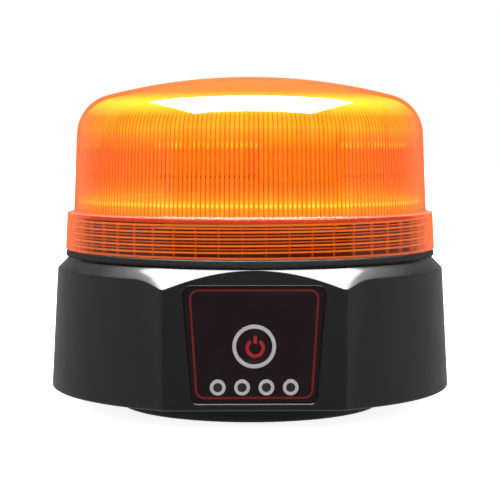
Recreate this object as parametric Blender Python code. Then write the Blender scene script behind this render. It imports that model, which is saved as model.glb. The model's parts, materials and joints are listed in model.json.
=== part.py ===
"""Rechargeable amber LED beacon with a screw-on lens and a magnetic foot.

Metres, +Z up. The origin is the centre of the foot's underside. Heights are
laid out from a datum DATUM_Z above it, and build() lifts everything onto it.
The control panel faces -Y and the charging port faces +Y. A plan angle is
measured from the middle of the front, so that 0 looks along -Y and 90 degrees
along +X.
"""
import math

import bmesh
import bpy
from mathutils import Matrix, Vector

MM = 0.001
GAP = 0.3 * MM

# ---- driving dimensions -------------------------------------------------
DATUM_Z = 3.25 * MM
FOOT_R = 53.0 * MM
FOOT_TOP_Z = 4.45 * MM
BASE_Z = 4.75 * MM                # underside of the housing
BASE_R = 80.7 * MM                # housing radius at its underside
BASE_TOP_R = 78.1 * MM            # and where the wall meets the shoulder
BASE_TOP_Z = 52.6 * MM
FLAT_Y = 74.2 * MM                # front and rear flats, from the axis
FLARE = 76.3 * MM                 # 45 degree side planes of the flats
SHOULDER_R = 73.8 * MM            # top edge of the 45 degree shoulder
SHOULDER_Z = 56.7 * MM
WALL = 2.8 * MM
FLAT_WALL = 4.0 * MM

LENS_Z = 60.2 * MM                # underside of the lens skirt
SKIRT_R = 75.0 * MM
SKIRT_TOP_R = 74.1 * MM
SKIRT_TOP_Z = 74.9 * MM
LENS_R = 71.4 * MM                # lens body just above the skirt
LENS_TOP_R = 70.1 * MM            # lens body under its shoulder
LENS_WALL = 2.5 * MM
LENS_ARC_R = 16.5 * MM            # shoulder arc
LENS_ARC_Z = 105.8 * MM
TOP_Z = 129.2 * MM
DRAFT = math.radians(2.5)

COLLAR_R = 71.1 * MM              # crest of the housing's thread
COLLAR_IN_R = 67.8 * MM
COLLAR_TOP_Z = 71.5 * MM
SKIRT_IN_R = 71.8 * MM            # crest of the lens thread

PANEL_FLOOR_Y = 72.6 * MM         # floor of the front recess
PANEL_Y = 73.7 * MM               # face of the control panel
PANEL_LOW_Z = 7.4 * MM
PANEL_HIGH_Z = 50.6 * MM
PANEL_LOW_HALF = 23.05 * MM
PANEL_HIGH_HALF = 26.5 * MM
PANEL_LOW_CORNER = 2.7 * MM
PANEL_HIGH_CORNER = 3.3 * MM

BUTTON_Z = 28.5 * MM
BUTTON_R = 6.3 * MM
BUTTON_TRAVEL = 0.6 * MM
RING_IN_R = 6.5 * MM
RING_OUT_R = 8.0 * MM
LAMP_Z = 13.45 * MM               # battery level lamps
LAMP_PITCH = 8.9 * MM
LAMP_IN_R = 1.7 * MM
LAMP_OUT_R = 2.95 * MM
LAMP_COUNT = 4

PORT_Z = 27.5 * MM                # charging port
FLAP_HALF = 12.0 * MM
FLAP_LOW_Z = 20.4 * MM
FLAP_FACE_Y = 74.0 * MM
FLAP_T = 1.5 * MM
HINGE_Z = 35.6 * MM
HINGE_Y = 72.75 * MM
HINGE_R = 1.25 * MM
HINGE_PIN_R = 0.6 * MM

COVER_LOW_Z = 5.2 * MM            # bottom cover plate
COVER_HIGH_Z = 8.2 * MM
POCKET_R = 52.0 * MM              # magnet pocket in the cover
POCKET_Z = 14.0 * MM
POCKET_WALL = 2.2 * MM
SCREW_CIRCLE_R = 72.5 * MM
SCREW_COUNT = 6

CELL_R = 9.25 * MM                # 18650 cell in its wrap
CELL_LENGTH = 65.2 * MM
CELL_PITCH = 19.1 * MM
CELL_COUNT = 4
CELL_Z = 27.7 * MM

DECK_Z = 55.3 * MM
DECK_T = 2.0 * MM
DECK_R = 66.9 * MM
DECK_SCREW_R = 64.2 * MM
BOARD_T = 1.6 * MM

COLUMN_SIDES = 6
COLUMN_APOTHEM = 34.6 * MM
COLUMN_WALL = 3.0 * MM
COLUMN_TOP_Z = 108.0 * MM
LED_BOARD_W = 34.0 * MM
LED_BOARD_LOW_Z = 88.0 * MM
LED_BOARD_HIGH_Z = 106.0 * MM

FACING_FRONT = Matrix.Rotation(math.radians(90.0), 4, "X")   # local +Z to -Y
FACING_RIGHT = Matrix.Rotation(math.radians(90.0), 4, "Y")   # local +Z to +X
FACING_REAR = Matrix.Rotation(math.pi, 4, "Z") @ FACING_FRONT  # local +Z to +Y
SIDE_ON = FACING_RIGHT @ Matrix.Rotation(math.radians(90.0), 4, "Z")   # an outline in (y, z)


# ---- helpers ------------------------------------------------------------
def material(name, color, roughness, metallic=0.0, alpha=1.0):
    made = bpy.data.materials.new(name)
    made.use_nodes = True
    shader = made.node_tree.nodes["Principled BSDF"]
    shader.inputs["Base Color"].default_value = (*color, 1.0)
    shader.inputs["Roughness"].default_value = roughness
    shader.inputs["Metallic"].default_value = metallic
    shader.inputs["Alpha"].default_value = alpha
    made.diffuse_color = (*color, alpha)
    return made


def add_object(name, bm, look, matrix=None, origin=(0.0, 0.0, 0.0)):
    """Put a closed bmesh in the scene, with its object's origin at origin."""
    if matrix is not None:
        bmesh.ops.transform(bm, matrix=matrix, verts=bm.verts)
    bmesh.ops.translate(bm, vec=-Vector(origin), verts=bm.verts)
    bmesh.ops.recalc_face_normals(bm, faces=bm.faces)
    mesh = bpy.data.meshes.new(name)
    bm.to_mesh(mesh)
    bm.free()
    mesh.shade_smooth()
    mesh.set_sharp_from_angle(angle=math.radians(30.0))
    if look is not None:
        mesh.materials.append(look)
    made = bpy.data.objects.new(name, mesh)
    made.location = origin
    bpy.context.scene.collection.objects.link(made)
    return made


def copy_object(source, name, location):
    made = bpy.data.objects.new(name, source.data)
    made.location = location
    bpy.context.scene.collection.objects.link(made)
    return made


def combine(target, tool, operation):
    """Cut tool out of target, or join it on, with a live Boolean."""
    tool.hide_render = True
    tool.display_type = "WIRE"
    step = target.modifiers.new(tool.name, "BOOLEAN")
    step.operation = operation
    step.solver = "EXACT"
    step.object = tool


def cut(target, tool):
    combine(target, tool, "DIFFERENCE")


def join(target, tool):
    combine(target, tool, "UNION")


def ring_skin(rings):
    """Close rings of points into one surface; a ring of one point is a pole.

    Where the first ring is a pole the rings run from pole to pole, and
    otherwise the last ring joins the first.
    """
    bm = bmesh.new()
    made = [[bm.verts.new(point) for point in ring] for ring in rings]
    after = made[1:] if len(made[0]) == 1 else made[1:] + made[:1]
    for low, high in zip(made, after):
        count = max(len(low), len(high))
        for i in range(count):
            j = (i + 1) % count
            corners = (low[i % len(low)], low[j % len(low)],
                       high[j % len(high)], high[i % len(high)])
            bm.faces.new(list(dict.fromkeys(corners)))
    return bm


def turned(profile, steps):
    """Spin (radius, height) points about Z, with flats rather than corners on X."""
    rings = []
    for radius, height in profile:
        if radius == 0.0:
            rings.append([(0.0, 0.0, height)])
            continue
        turns = [2.0 * math.pi * (i + 0.5) / steps for i in range(steps)]
        rings.append([(radius * math.cos(t), radius * math.sin(t), height) for t in turns])
    return ring_skin(rings)


def rod(radius, low, high, steps):
    return turned([(0.0, low), (radius, low), (radius, high), (0.0, high)], steps)


def tube(inner, outer, low, high, steps):
    return turned([(inner, low), (outer, low), (outer, high), (inner, high)], steps)


def prism(outline, low, high):
    """Extrude an (x, y) outline along Z."""
    bm = bmesh.new()
    floor = [bm.verts.new((x, y, low)) for x, y in outline]
    roof = [bm.verts.new((x, y, high)) for x, y in outline]
    count = len(outline)
    bm.faces.new(floor[::-1])
    bm.faces.new(roof)
    for i in range(count):
        j = (i + 1) % count
        bm.faces.new((floor[i], floor[j], roof[j], roof[i]))
    return bm


def box(low, high):
    (x0, y0, z0), (x1, y1, z1) = low, high
    return prism([(x0, y0), (x1, y0), (x1, y1), (x0, y1)], z0, z1)


def arc(center, radius, start, end, steps):
    """Points on an arc, with its angles in degrees."""
    points = []
    for i in range(steps + 1):
        turn = math.radians(start + (end - start) * i / steps)
        points.append((center[0] + radius * math.cos(turn), center[1] + radius * math.sin(turn)))
    return points


def rounded(corners, radii, steps=3):
    """Round each corner of a convex outline given anticlockwise."""
    outline = []
    count = len(corners)
    for i, (corner, radius) in enumerate(zip(corners, radii)):
        point = Vector(corner)
        before = (Vector(corners[i - 1]) - point).normalized()
        after = (Vector(corners[(i + 1) % count]) - point).normalized()
        half = before.angle(after) / 2.0
        center = point + (before + after).normalized() * radius / math.sin(half)
        start = point + before * radius / math.tan(half) - center
        end = point + after * radius / math.tan(half) - center
        turn = start.angle_signed(end)
        first = math.atan2(start.y, start.x)
        for k in range(steps + 1):
            angle = first - turn * k / steps
            outline.append((center.x + radius * math.cos(angle),
                            center.y + radius * math.sin(angle)))
    return outline


def slab(half_x, half_y, radius, middle=(0.0, 0.0)):
    """A rounded rectangle's outline about middle."""
    corners = [(-half_x, -half_y), (half_x, -half_y), (half_x, half_y), (-half_x, half_y)]
    moved = [(x + middle[0], y + middle[1]) for x, y in corners]
    return rounded(moved, [radius] * 4)


def on_circle(radius, angle_deg, height=0.0):
    """A point on a circle about the axis, at a plan angle."""
    turn = math.radians(angle_deg)
    return (radius * math.sin(turn), -radius * math.cos(turn), height)


# ---- the housing's plan shape -------------------------------------------
CORNER_BLEND = 1.2 * MM
FLARE_BLEND = 0.8 * MM
QUARTER = (0.0, 7.0, 14.0, 21.5, 23.5, 24.5, 25.5, 27.5, 30.0, 33.0, 37.5)
ROUND_STEPS = 6


def plan_angles():
    """Plan angles of the housing's columns, closer together at its corners."""
    last = QUARTER[-1]
    step = (90.0 - last) / ROUND_STEPS
    quarter = list(QUARTER) + [last + step * (i + 1) for i in range(ROUND_STEPS)]
    half = quarter + [180.0 - a for a in quarter[-2::-1]]
    return half + [-a for a in half[-2:0:-1]]


def blend_max(a, b, width):
    return max(a, b) + max(0.0, width - abs(a - b)) ** 2 / (4.0 * width)


def blend_min(a, b, width):
    return -blend_max(-a, -b, width)


def plan_radius(angle_deg, round_r, inset_flat=0.0, inset=0.0):
    """Radius of the outline: a circle with a flared flat, front and rear."""
    fold = min(abs(angle_deg), 180.0 - abs(angle_deg))
    flat = (FLAT_Y - inset_flat) / max(0.05, math.cos(math.radians(fold)))
    lean = math.radians(45.0 - min(fold, 45.0))
    flare = (FLARE - inset) / math.cos(lean)
    side = blend_max(flare, round_r - inset, FLARE_BLEND)
    return blend_min(flat, side, CORNER_BLEND)


def wall_radius(height):
    """Radius of the drafted round wall at a height."""
    share = (height - BASE_Z) / (BASE_TOP_Z - BASE_Z)
    return BASE_R + (BASE_TOP_R - BASE_R) * share


def outer_radius(angle_deg, height):
    return plan_radius(angle_deg, wall_radius(height))


def inner_radius(angle_deg, height):
    return plan_radius(angle_deg, wall_radius(height), FLAT_WALL, WALL)


def shoulder_edge(angle_deg):
    """Where the wall meets the 45 degree shoulder cone."""
    height = BASE_TOP_Z
    for _ in range(4):
        height = SHOULDER_Z + SHOULDER_R - outer_radius(angle_deg, height)
    return outer_radius(angle_deg, height), height


# ---- housing ------------------------------------------------------------
EDGE = 0.6 * MM                   # bevel round the underside
SHOULDER_ROUND = 3.7 * MM         # radius between round wall and shoulder
SHOULDER_CRISP = 0.5 * MM         # and along the flats
SHOULDER_ARC_STEPS = 3
CORNER_ANGLE = 24.5               # plan angle of a flat's corner
ROUND_SPREAD = 12.0               # and how far past it the rounding takes to grow
LEDGE_R = 66.0 * MM               # lower ledge, which takes the cover screws
LEDGE_LOW_Z = 8.5 * MM
LEDGE_HIGH_Z = 13.5 * MM
RIM_R = 62.0 * MM                 # upper ledge, which carries the LED deck
RIM_LOW_Z = 52.0 * MM
MID_Z = 30.0 * MM


def shoulder_round(angle_deg):
    fold = min(abs(angle_deg), 180.0 - abs(angle_deg))
    share = min(1.0, max(0.0, (fold - CORNER_ANGLE) / ROUND_SPREAD))
    return SHOULDER_CRISP + (SHOULDER_ROUND - SHOULDER_CRISP) * share


def housing_column(angle_deg):
    """The housing's wall section at a plan angle, as (radius, height)."""
    edge_r, edge_z = shoulder_edge(angle_deg)
    rounding = shoulder_round(angle_deg)
    reach = rounding * math.tan(math.radians(22.5))
    center = (edge_r - rounding, edge_z - reach)
    section = [
        (outer_radius(angle_deg, BASE_Z) - EDGE, BASE_Z),
        (outer_radius(angle_deg, BASE_Z + EDGE), BASE_Z + EDGE),
        (outer_radius(angle_deg, MID_Z), MID_Z),
    ]
    section += arc(center, rounding, 0.0, 45.0, SHOULDER_ARC_STEPS)
    section += [
        (SHOULDER_R, SHOULDER_Z),
        (COLLAR_R, SHOULDER_Z),
        (COLLAR_R, COLLAR_TOP_Z),
        (COLLAR_IN_R, COLLAR_TOP_Z),
        (COLLAR_IN_R, DECK_Z - GAP),
        (RIM_R, DECK_Z - GAP),
        (RIM_R, RIM_LOW_Z),
        (inner_radius(angle_deg, RIM_LOW_Z), RIM_LOW_Z),
        (inner_radius(angle_deg, LEDGE_HIGH_Z), LEDGE_HIGH_Z),
        (LEDGE_R, LEDGE_HIGH_Z),
        (LEDGE_R, LEDGE_LOW_Z),
        (inner_radius(angle_deg, LEDGE_LOW_Z), LEDGE_LOW_Z),
        (inner_radius(angle_deg, BASE_Z), BASE_Z),
    ]
    return section


def skin_by_angle(section_at):
    """Skin a closed section that changes with the plan angle."""
    angles = plan_angles()
    sections = [section_at(angle) for angle in angles]
    rings = []
    for row in range(len(sections[0])):
        rings.append([on_circle(section[row][0], angle, section[row][1])
                      for angle, section in zip(angles, sections)])
    bm = ring_skin(rings)
    bmesh.ops.connect_verts_nonplanar(bm, angle_limit=math.radians(0.02), faces=bm.faces)
    return bm


def panel_outline(inset):
    """The control panel's rounded trapezoid, as (x, z)."""
    low, high = PANEL_LOW_Z + inset, PANEL_HIGH_Z - inset
    narrow, wide = PANEL_LOW_HALF - inset, PANEL_HIGH_HALF - inset
    corners = [(-narrow, low), (narrow, low), (wide, high), (-wide, high)]
    radii = [PANEL_LOW_CORNER - inset] * 2 + [PANEL_HIGH_CORNER - inset] * 2
    return rounded(corners, radii, 4)


def lamp_positions():
    first = -(LAMP_COUNT - 1) / 2.0
    return [(first + i) * LAMP_PITCH for i in range(LAMP_COUNT)]


def screw_angles():
    """Plan angles of the cover screws, clear of both flats."""
    return [90.0 + 360.0 * i / SCREW_COUNT for i in range(SCREW_COUNT)]


def deck_screw_angles():
    return [60.0, 180.0, 300.0]


SCREW_HOLE_R = 1.75 * MM
DECK_HOLE_R = 1.5 * MM
PIN_HALF = 13.6 * MM
PIN_HOLE_R = 0.75 * MM
INSIDE_Y = 66.0 * MM              # past the inner face of the front and rear walls
STEM_R = 1.8 * MM                 # stem behind the button, and its hole
STEM_HOLE_R = 2.3 * MM
WELL_R = 6.8 * MM                 # well that the button moves in
WELL_Y = 70.9 * MM
LAMP_HOLE_R = 1.8 * MM
OUTSIDE_Y = FLAT_Y + 2.0 * MM
PLUG_HALF = (4.8 * MM, 1.9 * MM)


def build_housing(look):
    housing = add_object("housing", skin_by_angle(housing_column), look)

    recess = prism(panel_outline(0.0), PANEL_FLOOR_Y, OUTSIDE_Y)
    cut(housing, add_object("panel_recess_cutter", recess, None, FACING_FRONT))
    button_well = [(0.0, INSIDE_Y), (STEM_HOLE_R, INSIDE_Y), (STEM_HOLE_R, WELL_Y),
                   (WELL_R, WELL_Y), (WELL_R, FLAT_Y), (0.0, FLAT_Y)]
    at_button = Matrix.Translation((0.0, 0.0, BUTTON_Z)) @ FACING_FRONT
    cut(housing, add_object("button_well_cutter", turned(button_well, 24), None, at_button))
    for i, x in enumerate(lamp_positions()):
        hole = rod(LAMP_HOLE_R, INSIDE_Y, FLAT_Y, 12)
        place = Matrix.Translation((x, 0.0, LAMP_Z)) @ FACING_FRONT
        cut(housing, add_object(f"lamp_hole_cutter_{i + 1}", hole, None, place))

    half = FLAP_HALF + 0.5 * MM
    flap_bay = box((-half, 72.2 * MM, FLAP_LOW_Z - 2.0 * MM), (half, OUTSIDE_Y, 36.0 * MM))
    cut(housing, add_object("flap_bay_cutter", flap_bay, None))
    barrel_bay = box((-half, 71.0 * MM, HINGE_Z - 2.0 * MM), (half, OUTSIDE_Y, 38.0 * MM))
    cut(housing, add_object("barrel_bay_cutter", barrel_bay, None))
    pin_hole = rod(PIN_HOLE_R, -PIN_HALF - GAP, PIN_HALF + GAP, 12)
    at_hinge = Matrix.Translation((0.0, HINGE_Y, HINGE_Z)) @ FACING_RIGHT
    cut(housing, add_object("pin_hole_cutter", pin_hole, None, at_hinge))
    port = prism(slab(PLUG_HALF[0] + 0.5 * MM, PLUG_HALF[1] + 0.6 * MM, 1.8 * MM, (0.0, PORT_Z)),
                 -FLAT_Y, -INSIDE_Y)
    cut(housing, add_object("port_hole_cutter", port, None, FACING_FRONT))

    for i, angle in enumerate(screw_angles()):
        hole = rod(SCREW_HOLE_R, LEDGE_LOW_Z - 1.0 * MM, LEDGE_HIGH_Z + 1.0 * MM, 12)
        place = Matrix.Translation(on_circle(SCREW_CIRCLE_R, angle))
        cut(housing, add_object(f"cover_screw_cutter_{i + 1}", hole, None, place))
    for i, angle in enumerate(deck_screw_angles()):
        hole = rod(DECK_HOLE_R, RIM_LOW_Z - 1.0 * MM, DECK_Z + 1.0 * MM, 12)
        place = Matrix.Translation(on_circle(DECK_SCREW_R, angle))
        cut(housing, add_object(f"deck_screw_cutter_{i + 1}", hole, None, place))
    return housing


# ---- bottom cover, its seal, screws and breather -------------------------
SEAL_IN_R = 67.0 * MM
SEAL_OUT_R = 69.0 * MM
SEAL_LOW_Z = 7.0 * MM
HEAD_R = 2.7 * MM
VENT_AT = (0.0, 63.6 * MM)


def cover_column(angle_deg):
    """The bottom cover's section at a plan angle."""
    rim = inner_radius(angle_deg, COVER_HIGH_Z) - 0.4 * MM
    groove = (SEAL_IN_R - GAP, SEAL_OUT_R + GAP)
    pocket = POCKET_R + POCKET_WALL
    return [
        (POCKET_R, COVER_LOW_Z), (rim, COVER_LOW_Z), (rim, COVER_HIGH_Z),
        (groove[1], COVER_HIGH_Z), (groove[1], SEAL_LOW_Z - GAP),
        (groove[0], SEAL_LOW_Z - GAP), (groove[0], COVER_HIGH_Z),
        (pocket, COVER_HIGH_Z), (pocket, POCKET_Z + POCKET_WALL),
        (2.3 * MM, POCKET_Z + POCKET_WALL), (2.3 * MM, POCKET_Z), (POCKET_R, POCKET_Z),
    ]


def build_bottom(plastic, rubber, steel):
    cover = add_object("bottom_cover", skin_by_angle(cover_column), plastic)
    seat_z = COVER_LOW_Z + 1.9 * MM
    seat = [(0.0, COVER_LOW_Z - 1.0 * MM), (HEAD_R + GAP, COVER_LOW_Z - 1.0 * MM),
            (HEAD_R + GAP, seat_z), (SCREW_HOLE_R, seat_z),
            (SCREW_HOLE_R, COVER_HIGH_Z + 1.0 * MM), (0.0, COVER_HIGH_Z + 1.0 * MM)]
    for i, angle in enumerate(screw_angles()):
        place = Matrix.Translation(on_circle(SCREW_CIRCLE_R, angle))
        cut(cover, add_object(f"screw_seat_cutter_{i + 1}", turned(seat, 12), None, place))
    vent_hole = rod(1.5 * MM, COVER_LOW_Z - 1.0 * MM, COVER_HIGH_Z + 1.0 * MM, 12)
    at_vent = Matrix.Translation((*VENT_AT, 0.0))
    cut(cover, add_object("vent_cutter", vent_hole, None, at_vent))

    add_object("bottom_seal", tube(SEAL_IN_R, SEAL_OUT_R, SEAL_LOW_Z, COVER_HIGH_Z, 48), rubber)

    head_low = COVER_LOW_Z + 0.1 * MM
    screw = [(0.0, head_low + 0.9 * MM), (1.1 * MM, head_low + 0.9 * MM), (1.1 * MM, head_low),
             (2.4 * MM, head_low), (HEAD_R, head_low + 0.3 * MM), (HEAD_R, seat_z - GAP),
             (1.45 * MM, seat_z - GAP), (1.45 * MM, LEDGE_HIGH_Z - 0.5 * MM),
             (0.0, LEDGE_HIGH_Z - 0.5 * MM)]
    first = None
    for i, angle in enumerate(screw_angles()):
        name = f"cover_screw_{i + 1}"
        place = on_circle(SCREW_CIRCLE_R, angle)
        if first is None:
            first = add_object(name, turned(screw, 8), steel)
            first.location = place
        else:
            copy_object(first, name, place)

    vent = [(0.0, COVER_LOW_Z), (1.2 * MM, COVER_LOW_Z), (1.2 * MM, COVER_HIGH_Z + GAP),
            (2.1 * MM, COVER_HIGH_Z + GAP), (1.8 * MM, COVER_HIGH_Z + 1.6 * MM),
            (0.0, COVER_HIGH_Z + 1.6 * MM)]
    add_object("vent_plug", turned(vent, 12), rubber, at_vent)


# ---- magnetic foot ------------------------------------------------------
FOOT_LOW_Z = -DATUM_Z
FOOT_SKIN = 1.35 * MM
FOOT_EDGE = 1.2 * MM
CUP_R = 50.0 * MM
CUP_LOW_Z = FOOT_LOW_Z + FOOT_SKIN + GAP
CUP_T = 2.0 * MM
FOOT_STEPS = 40
MAGNET_STEPS = 36


def build_foot(rubber, steel, ferrite):
    lip_r, lip_z = POCKET_R - 0.4 * MM, 8.5 * MM
    inner = CUP_R + GAP
    skin_z = FOOT_LOW_Z + FOOT_SKIN
    foot = [(0.0, FOOT_LOW_Z), (FOOT_R - FOOT_EDGE, FOOT_LOW_Z), (FOOT_R, FOOT_LOW_Z + FOOT_EDGE),
            (FOOT_R, FOOT_TOP_Z), (lip_r, FOOT_TOP_Z), (lip_r, lip_z), (inner, lip_z),
            (inner, skin_z), (0.0, skin_z)]
    add_object("magnet_boot", turned(foot, FOOT_STEPS), rubber)

    top = POCKET_Z - GAP
    hole = 2.3 * MM
    cup = [(CUP_R - CUP_T, CUP_LOW_Z), (CUP_R, CUP_LOW_Z), (CUP_R, top), (hole, top),
           (hole, top - CUP_T), (CUP_R - CUP_T, top - CUP_T)]
    add_object("magnet_cup", turned(cup, MAGNET_STEPS), steel)
    magnet = tube(8.0 * MM, CUP_R - CUP_T - GAP, CUP_LOW_Z + 0.1 * MM, top - CUP_T - GAP,
                  MAGNET_STEPS)
    add_object("magnet_ring", magnet, ferrite)
    head = top - CUP_T - GAP
    screw = [(0.0, head - 1.0 * MM), (1.2 * MM, head - 1.0 * MM), (1.2 * MM, head - 2.2 * MM),
             (3.6 * MM, head - 2.2 * MM), (4.0 * MM, head - 1.8 * MM), (4.0 * MM, head),
             (1.95 * MM, head), (1.95 * MM, POCKET_Z + 2.0 * MM), (0.0, POCKET_Z + 2.0 * MM)]
    add_object("magnet_screw", turned(screw, 16), steel)


# ---- control panel ------------------------------------------------------
PANEL_BACK_Y = PANEL_FLOOR_Y + GAP
STEM_END_Y = 69.8 * MM
BUTTON_T = 1.2 * MM
PIPE_BACK_Y = 69.3 * MM


def build_panel(film, button_look, trim, pipe):
    panel = add_object("control_panel",
                       prism(panel_outline(0.25 * MM), PANEL_BACK_Y, PANEL_Y), film, FACING_FRONT)
    at_button = Matrix.Translation((0.0, 0.0, BUTTON_Z)) @ FACING_FRONT
    hole = rod(RING_OUT_R + 0.2 * MM, PANEL_FLOOR_Y, FLAT_Y, 32)
    cut(panel, add_object("ring_hole_cutter", hole, None, at_button))
    ring = tube(RING_IN_R, RING_OUT_R, PANEL_BACK_Y, PANEL_Y + 0.1 * MM, 32)
    add_object("power_ring", ring, trim, at_button)

    back = PANEL_Y - BUTTON_T
    button = [(0.0, STEM_END_Y), (STEM_R, STEM_END_Y), (STEM_R, back),
              (BUTTON_R, back), (BUTTON_R, PANEL_Y - 0.1 * MM),
              (BUTTON_R - 0.3 * MM, PANEL_Y), (0.0, PANEL_Y)]
    add_object("power_button", turned(button, 32), button_look, at_button,
               origin=(0.0, -PANEL_Y, BUTTON_Z))

    for i, x in enumerate(lamp_positions()):
        at_lamp = Matrix.Translation((x, 0.0, LAMP_Z)) @ FACING_FRONT
        hole = rod(LAMP_OUT_R + 0.2 * MM, PANEL_FLOOR_Y, FLAT_Y, 20)
        cut(panel, add_object(f"lamp_ring_cutter_{i + 1}", hole, None, at_lamp))
        ring = tube(LAMP_IN_R, LAMP_OUT_R, PANEL_BACK_Y, PANEL_Y + 0.1 * MM, 20)
        add_object(f"lamp_ring_{i + 1}", ring, trim, at_lamp)
        light = rod(LAMP_IN_R - 0.15 * MM, PIPE_BACK_Y, PANEL_Y, 12)
        add_object(f"light_pipe_{i + 1}", light, pipe, at_lamp)


# ---- electronics in the housing -----------------------------------------
CONTROL_BOARD_Y = 67.2 * MM
TRAY_FLOOR_Z = POCKET_Z + POCKET_WALL + GAP
TRAY_T = 1.6 * MM
DRIVER_Z = 44.0 * MM
DRIVER_R = 46.0 * MM
STANDOFF_CIRCLE_R = 41.0 * MM
RIBBON_T = 0.5 * MM
RIBBON_TOP_Z = 50.5 * MM
RIBBON_END_Y = 40.0 * MM


def build_control_board(board, black, tinned):
    half = 21.0 * MM
    add_object("control_board",
               box((-half, -CONTROL_BOARD_Y, 15.0 * MM),
                   (half, -CONTROL_BOARD_Y + BOARD_T, 45.0 * MM)), board)
    switch = box((-3.0 * MM, -68.6 * MM, BUTTON_Z - 3.0 * MM),
                 (3.0 * MM, -CONTROL_BOARD_Y - 0.2 * MM, BUTTON_Z + 3.0 * MM))
    add_object("tact_switch", switch, black)
    start_y, start_z = CONTROL_BOARD_Y - BOARD_T - GAP, 40.0 * MM
    turn_y, turn_z = start_y - 4.0 * MM, RIBBON_TOP_Z - 1.5 * MM
    end_z = DRIVER_Z + BOARD_T + GAP
    bend = [(start_y, start_z), (start_y, turn_z), (turn_y, RIBBON_TOP_Z),
            (RIBBON_END_Y, RIBBON_TOP_Z), (RIBBON_END_Y, end_z)]
    back = [(RIBBON_END_Y + RIBBON_T, end_z),
            (RIBBON_END_Y + RIBBON_T, RIBBON_TOP_Z - RIBBON_T),
            (turn_y - 0.2 * MM, RIBBON_TOP_Z - RIBBON_T),
            (start_y - RIBBON_T, turn_z - 0.3 * MM), (start_y - RIBBON_T, start_z)]
    outline = [(-y, z) for y, z in bend + back]
    add_object("panel_ribbon", prism(outline, -6.0 * MM, 6.0 * MM), tinned, SIDE_ON)


def build_batteries(wrap, plastic, steel):
    half_x = CELL_LENGTH / 2.0 + 0.6 * MM + TRAY_T
    half_y = CELL_PITCH * CELL_COUNT / 2.0 + TRAY_T
    rail = 12.0 * MM
    tray = add_object("battery_tray",
                      box((-half_x, -half_y, TRAY_FLOOR_Z),
                          (half_x, half_y, TRAY_FLOOR_Z + rail)), plastic)
    inside = box((-half_x + TRAY_T, -half_y + TRAY_T, TRAY_FLOOR_Z + TRAY_T),
                 (half_x - TRAY_T, half_y - TRAY_T, TRAY_FLOOR_Z + 2.0 * rail))
    cut(tray, add_object("tray_cutter", inside, None))

    first = -(CELL_COUNT - 1) / 2.0
    end, nub = CELL_LENGTH / 2.0, 1.5 * MM
    cell = [(0.0, -end), (CELL_R - 0.4 * MM, -end), (CELL_R, -end + 0.4 * MM),
            (CELL_R, end - nub), (3.0 * MM, end - nub), (3.0 * MM, end), (0.0, end)]
    for i in range(CELL_COUNT):
        place = Matrix.Translation((0.0, (first + i) * CELL_PITCH, CELL_Z))
        flip = Matrix.Rotation(math.pi * (i % 2), 4, "Z")
        add_object(f"battery_cell_{i + 1}", turned(cell, 16), wrap, place @ flip @ FACING_RIGHT)

    leg = half_y + GAP
    top = CELL_Z + CELL_R + GAP
    bar = 1.5 * MM
    outline = [(-leg - bar, TRAY_FLOOR_Z), (-leg, TRAY_FLOOR_Z), (-leg, top), (leg, top),
               (leg, TRAY_FLOOR_Z), (leg + bar, TRAY_FLOOR_Z), (leg + bar, top + bar),
               (-leg - bar, top + bar)]
    add_object("battery_clamp", prism(outline, -7.0 * MM, 7.0 * MM), steel, SIDE_ON)


def build_driver(board, black, copper, brass):
    add_object("driver_board", rod(DRIVER_R, DRIVER_Z, DRIVER_Z + BOARD_T, 32), board)
    for i in range(3):
        place = Matrix.Translation(on_circle(STANDOFF_CIRCLE_R, 60.0 + 120.0 * i))
        post = rod(2.5 * MM, DRIVER_Z + BOARD_T + GAP, DECK_Z - GAP, 6)
        add_object(f"board_standoff_{i + 1}", post, brass, place)
    on_board = DRIVER_Z + BOARD_T + GAP
    coil = tube(2.5 * MM, 7.0 * MM, on_board, on_board + 5.5 * MM, 16)
    add_object("driver_inductor", coil, copper, Matrix.Translation((18.0 * MM, 6.0 * MM, 0.0)))
    can = rod(4.0 * MM, on_board, on_board + 8.0 * MM, 16)
    add_object("driver_capacitor", can, black, Matrix.Translation((-18.0 * MM, 8.0 * MM, 0.0)))


def build_battery_lead(look):
    """The two-core lead from the battery pack's side up to the driver board."""
    path = bpy.data.curves.new("battery_lead", "CURVE")
    path.dimensions = "3D"
    path.bevel_depth = 1.2 * MM
    path.bevel_resolution = 2
    path.use_fill_caps = True
    spline = path.splines.new("POLY")
    count = 14
    spline.points.add(count - 1)
    start = Vector((35.5 * MM, 0.0, 34.0 * MM))
    end = Vector((30.0 * MM, 0.0, DRIVER_Z - 1.5 * MM))
    for i in range(count):
        share = i / (count - 1)
        bulge = 10.0 * MM * math.sin(math.pi * share)
        point = start.lerp(end, share) + Vector((bulge, 0.0, 0.0))
        spline.points[i].co = (*point, 1.0)
    path.materials.append(look)
    lead = bpy.data.objects.new("battery_lead", path)
    bpy.context.scene.collection.objects.link(lead)


# ---- charging port and its flap -----------------------------------------
SOCKET_HALF = (5.6 * MM, 3.0 * MM)
MOUTH_HALF = (4.5 * MM, 1.6 * MM)
SOCKET_FACE_Y = 69.9 * MM
SOCKET_BACK_Y = 60.5 * MM


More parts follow.
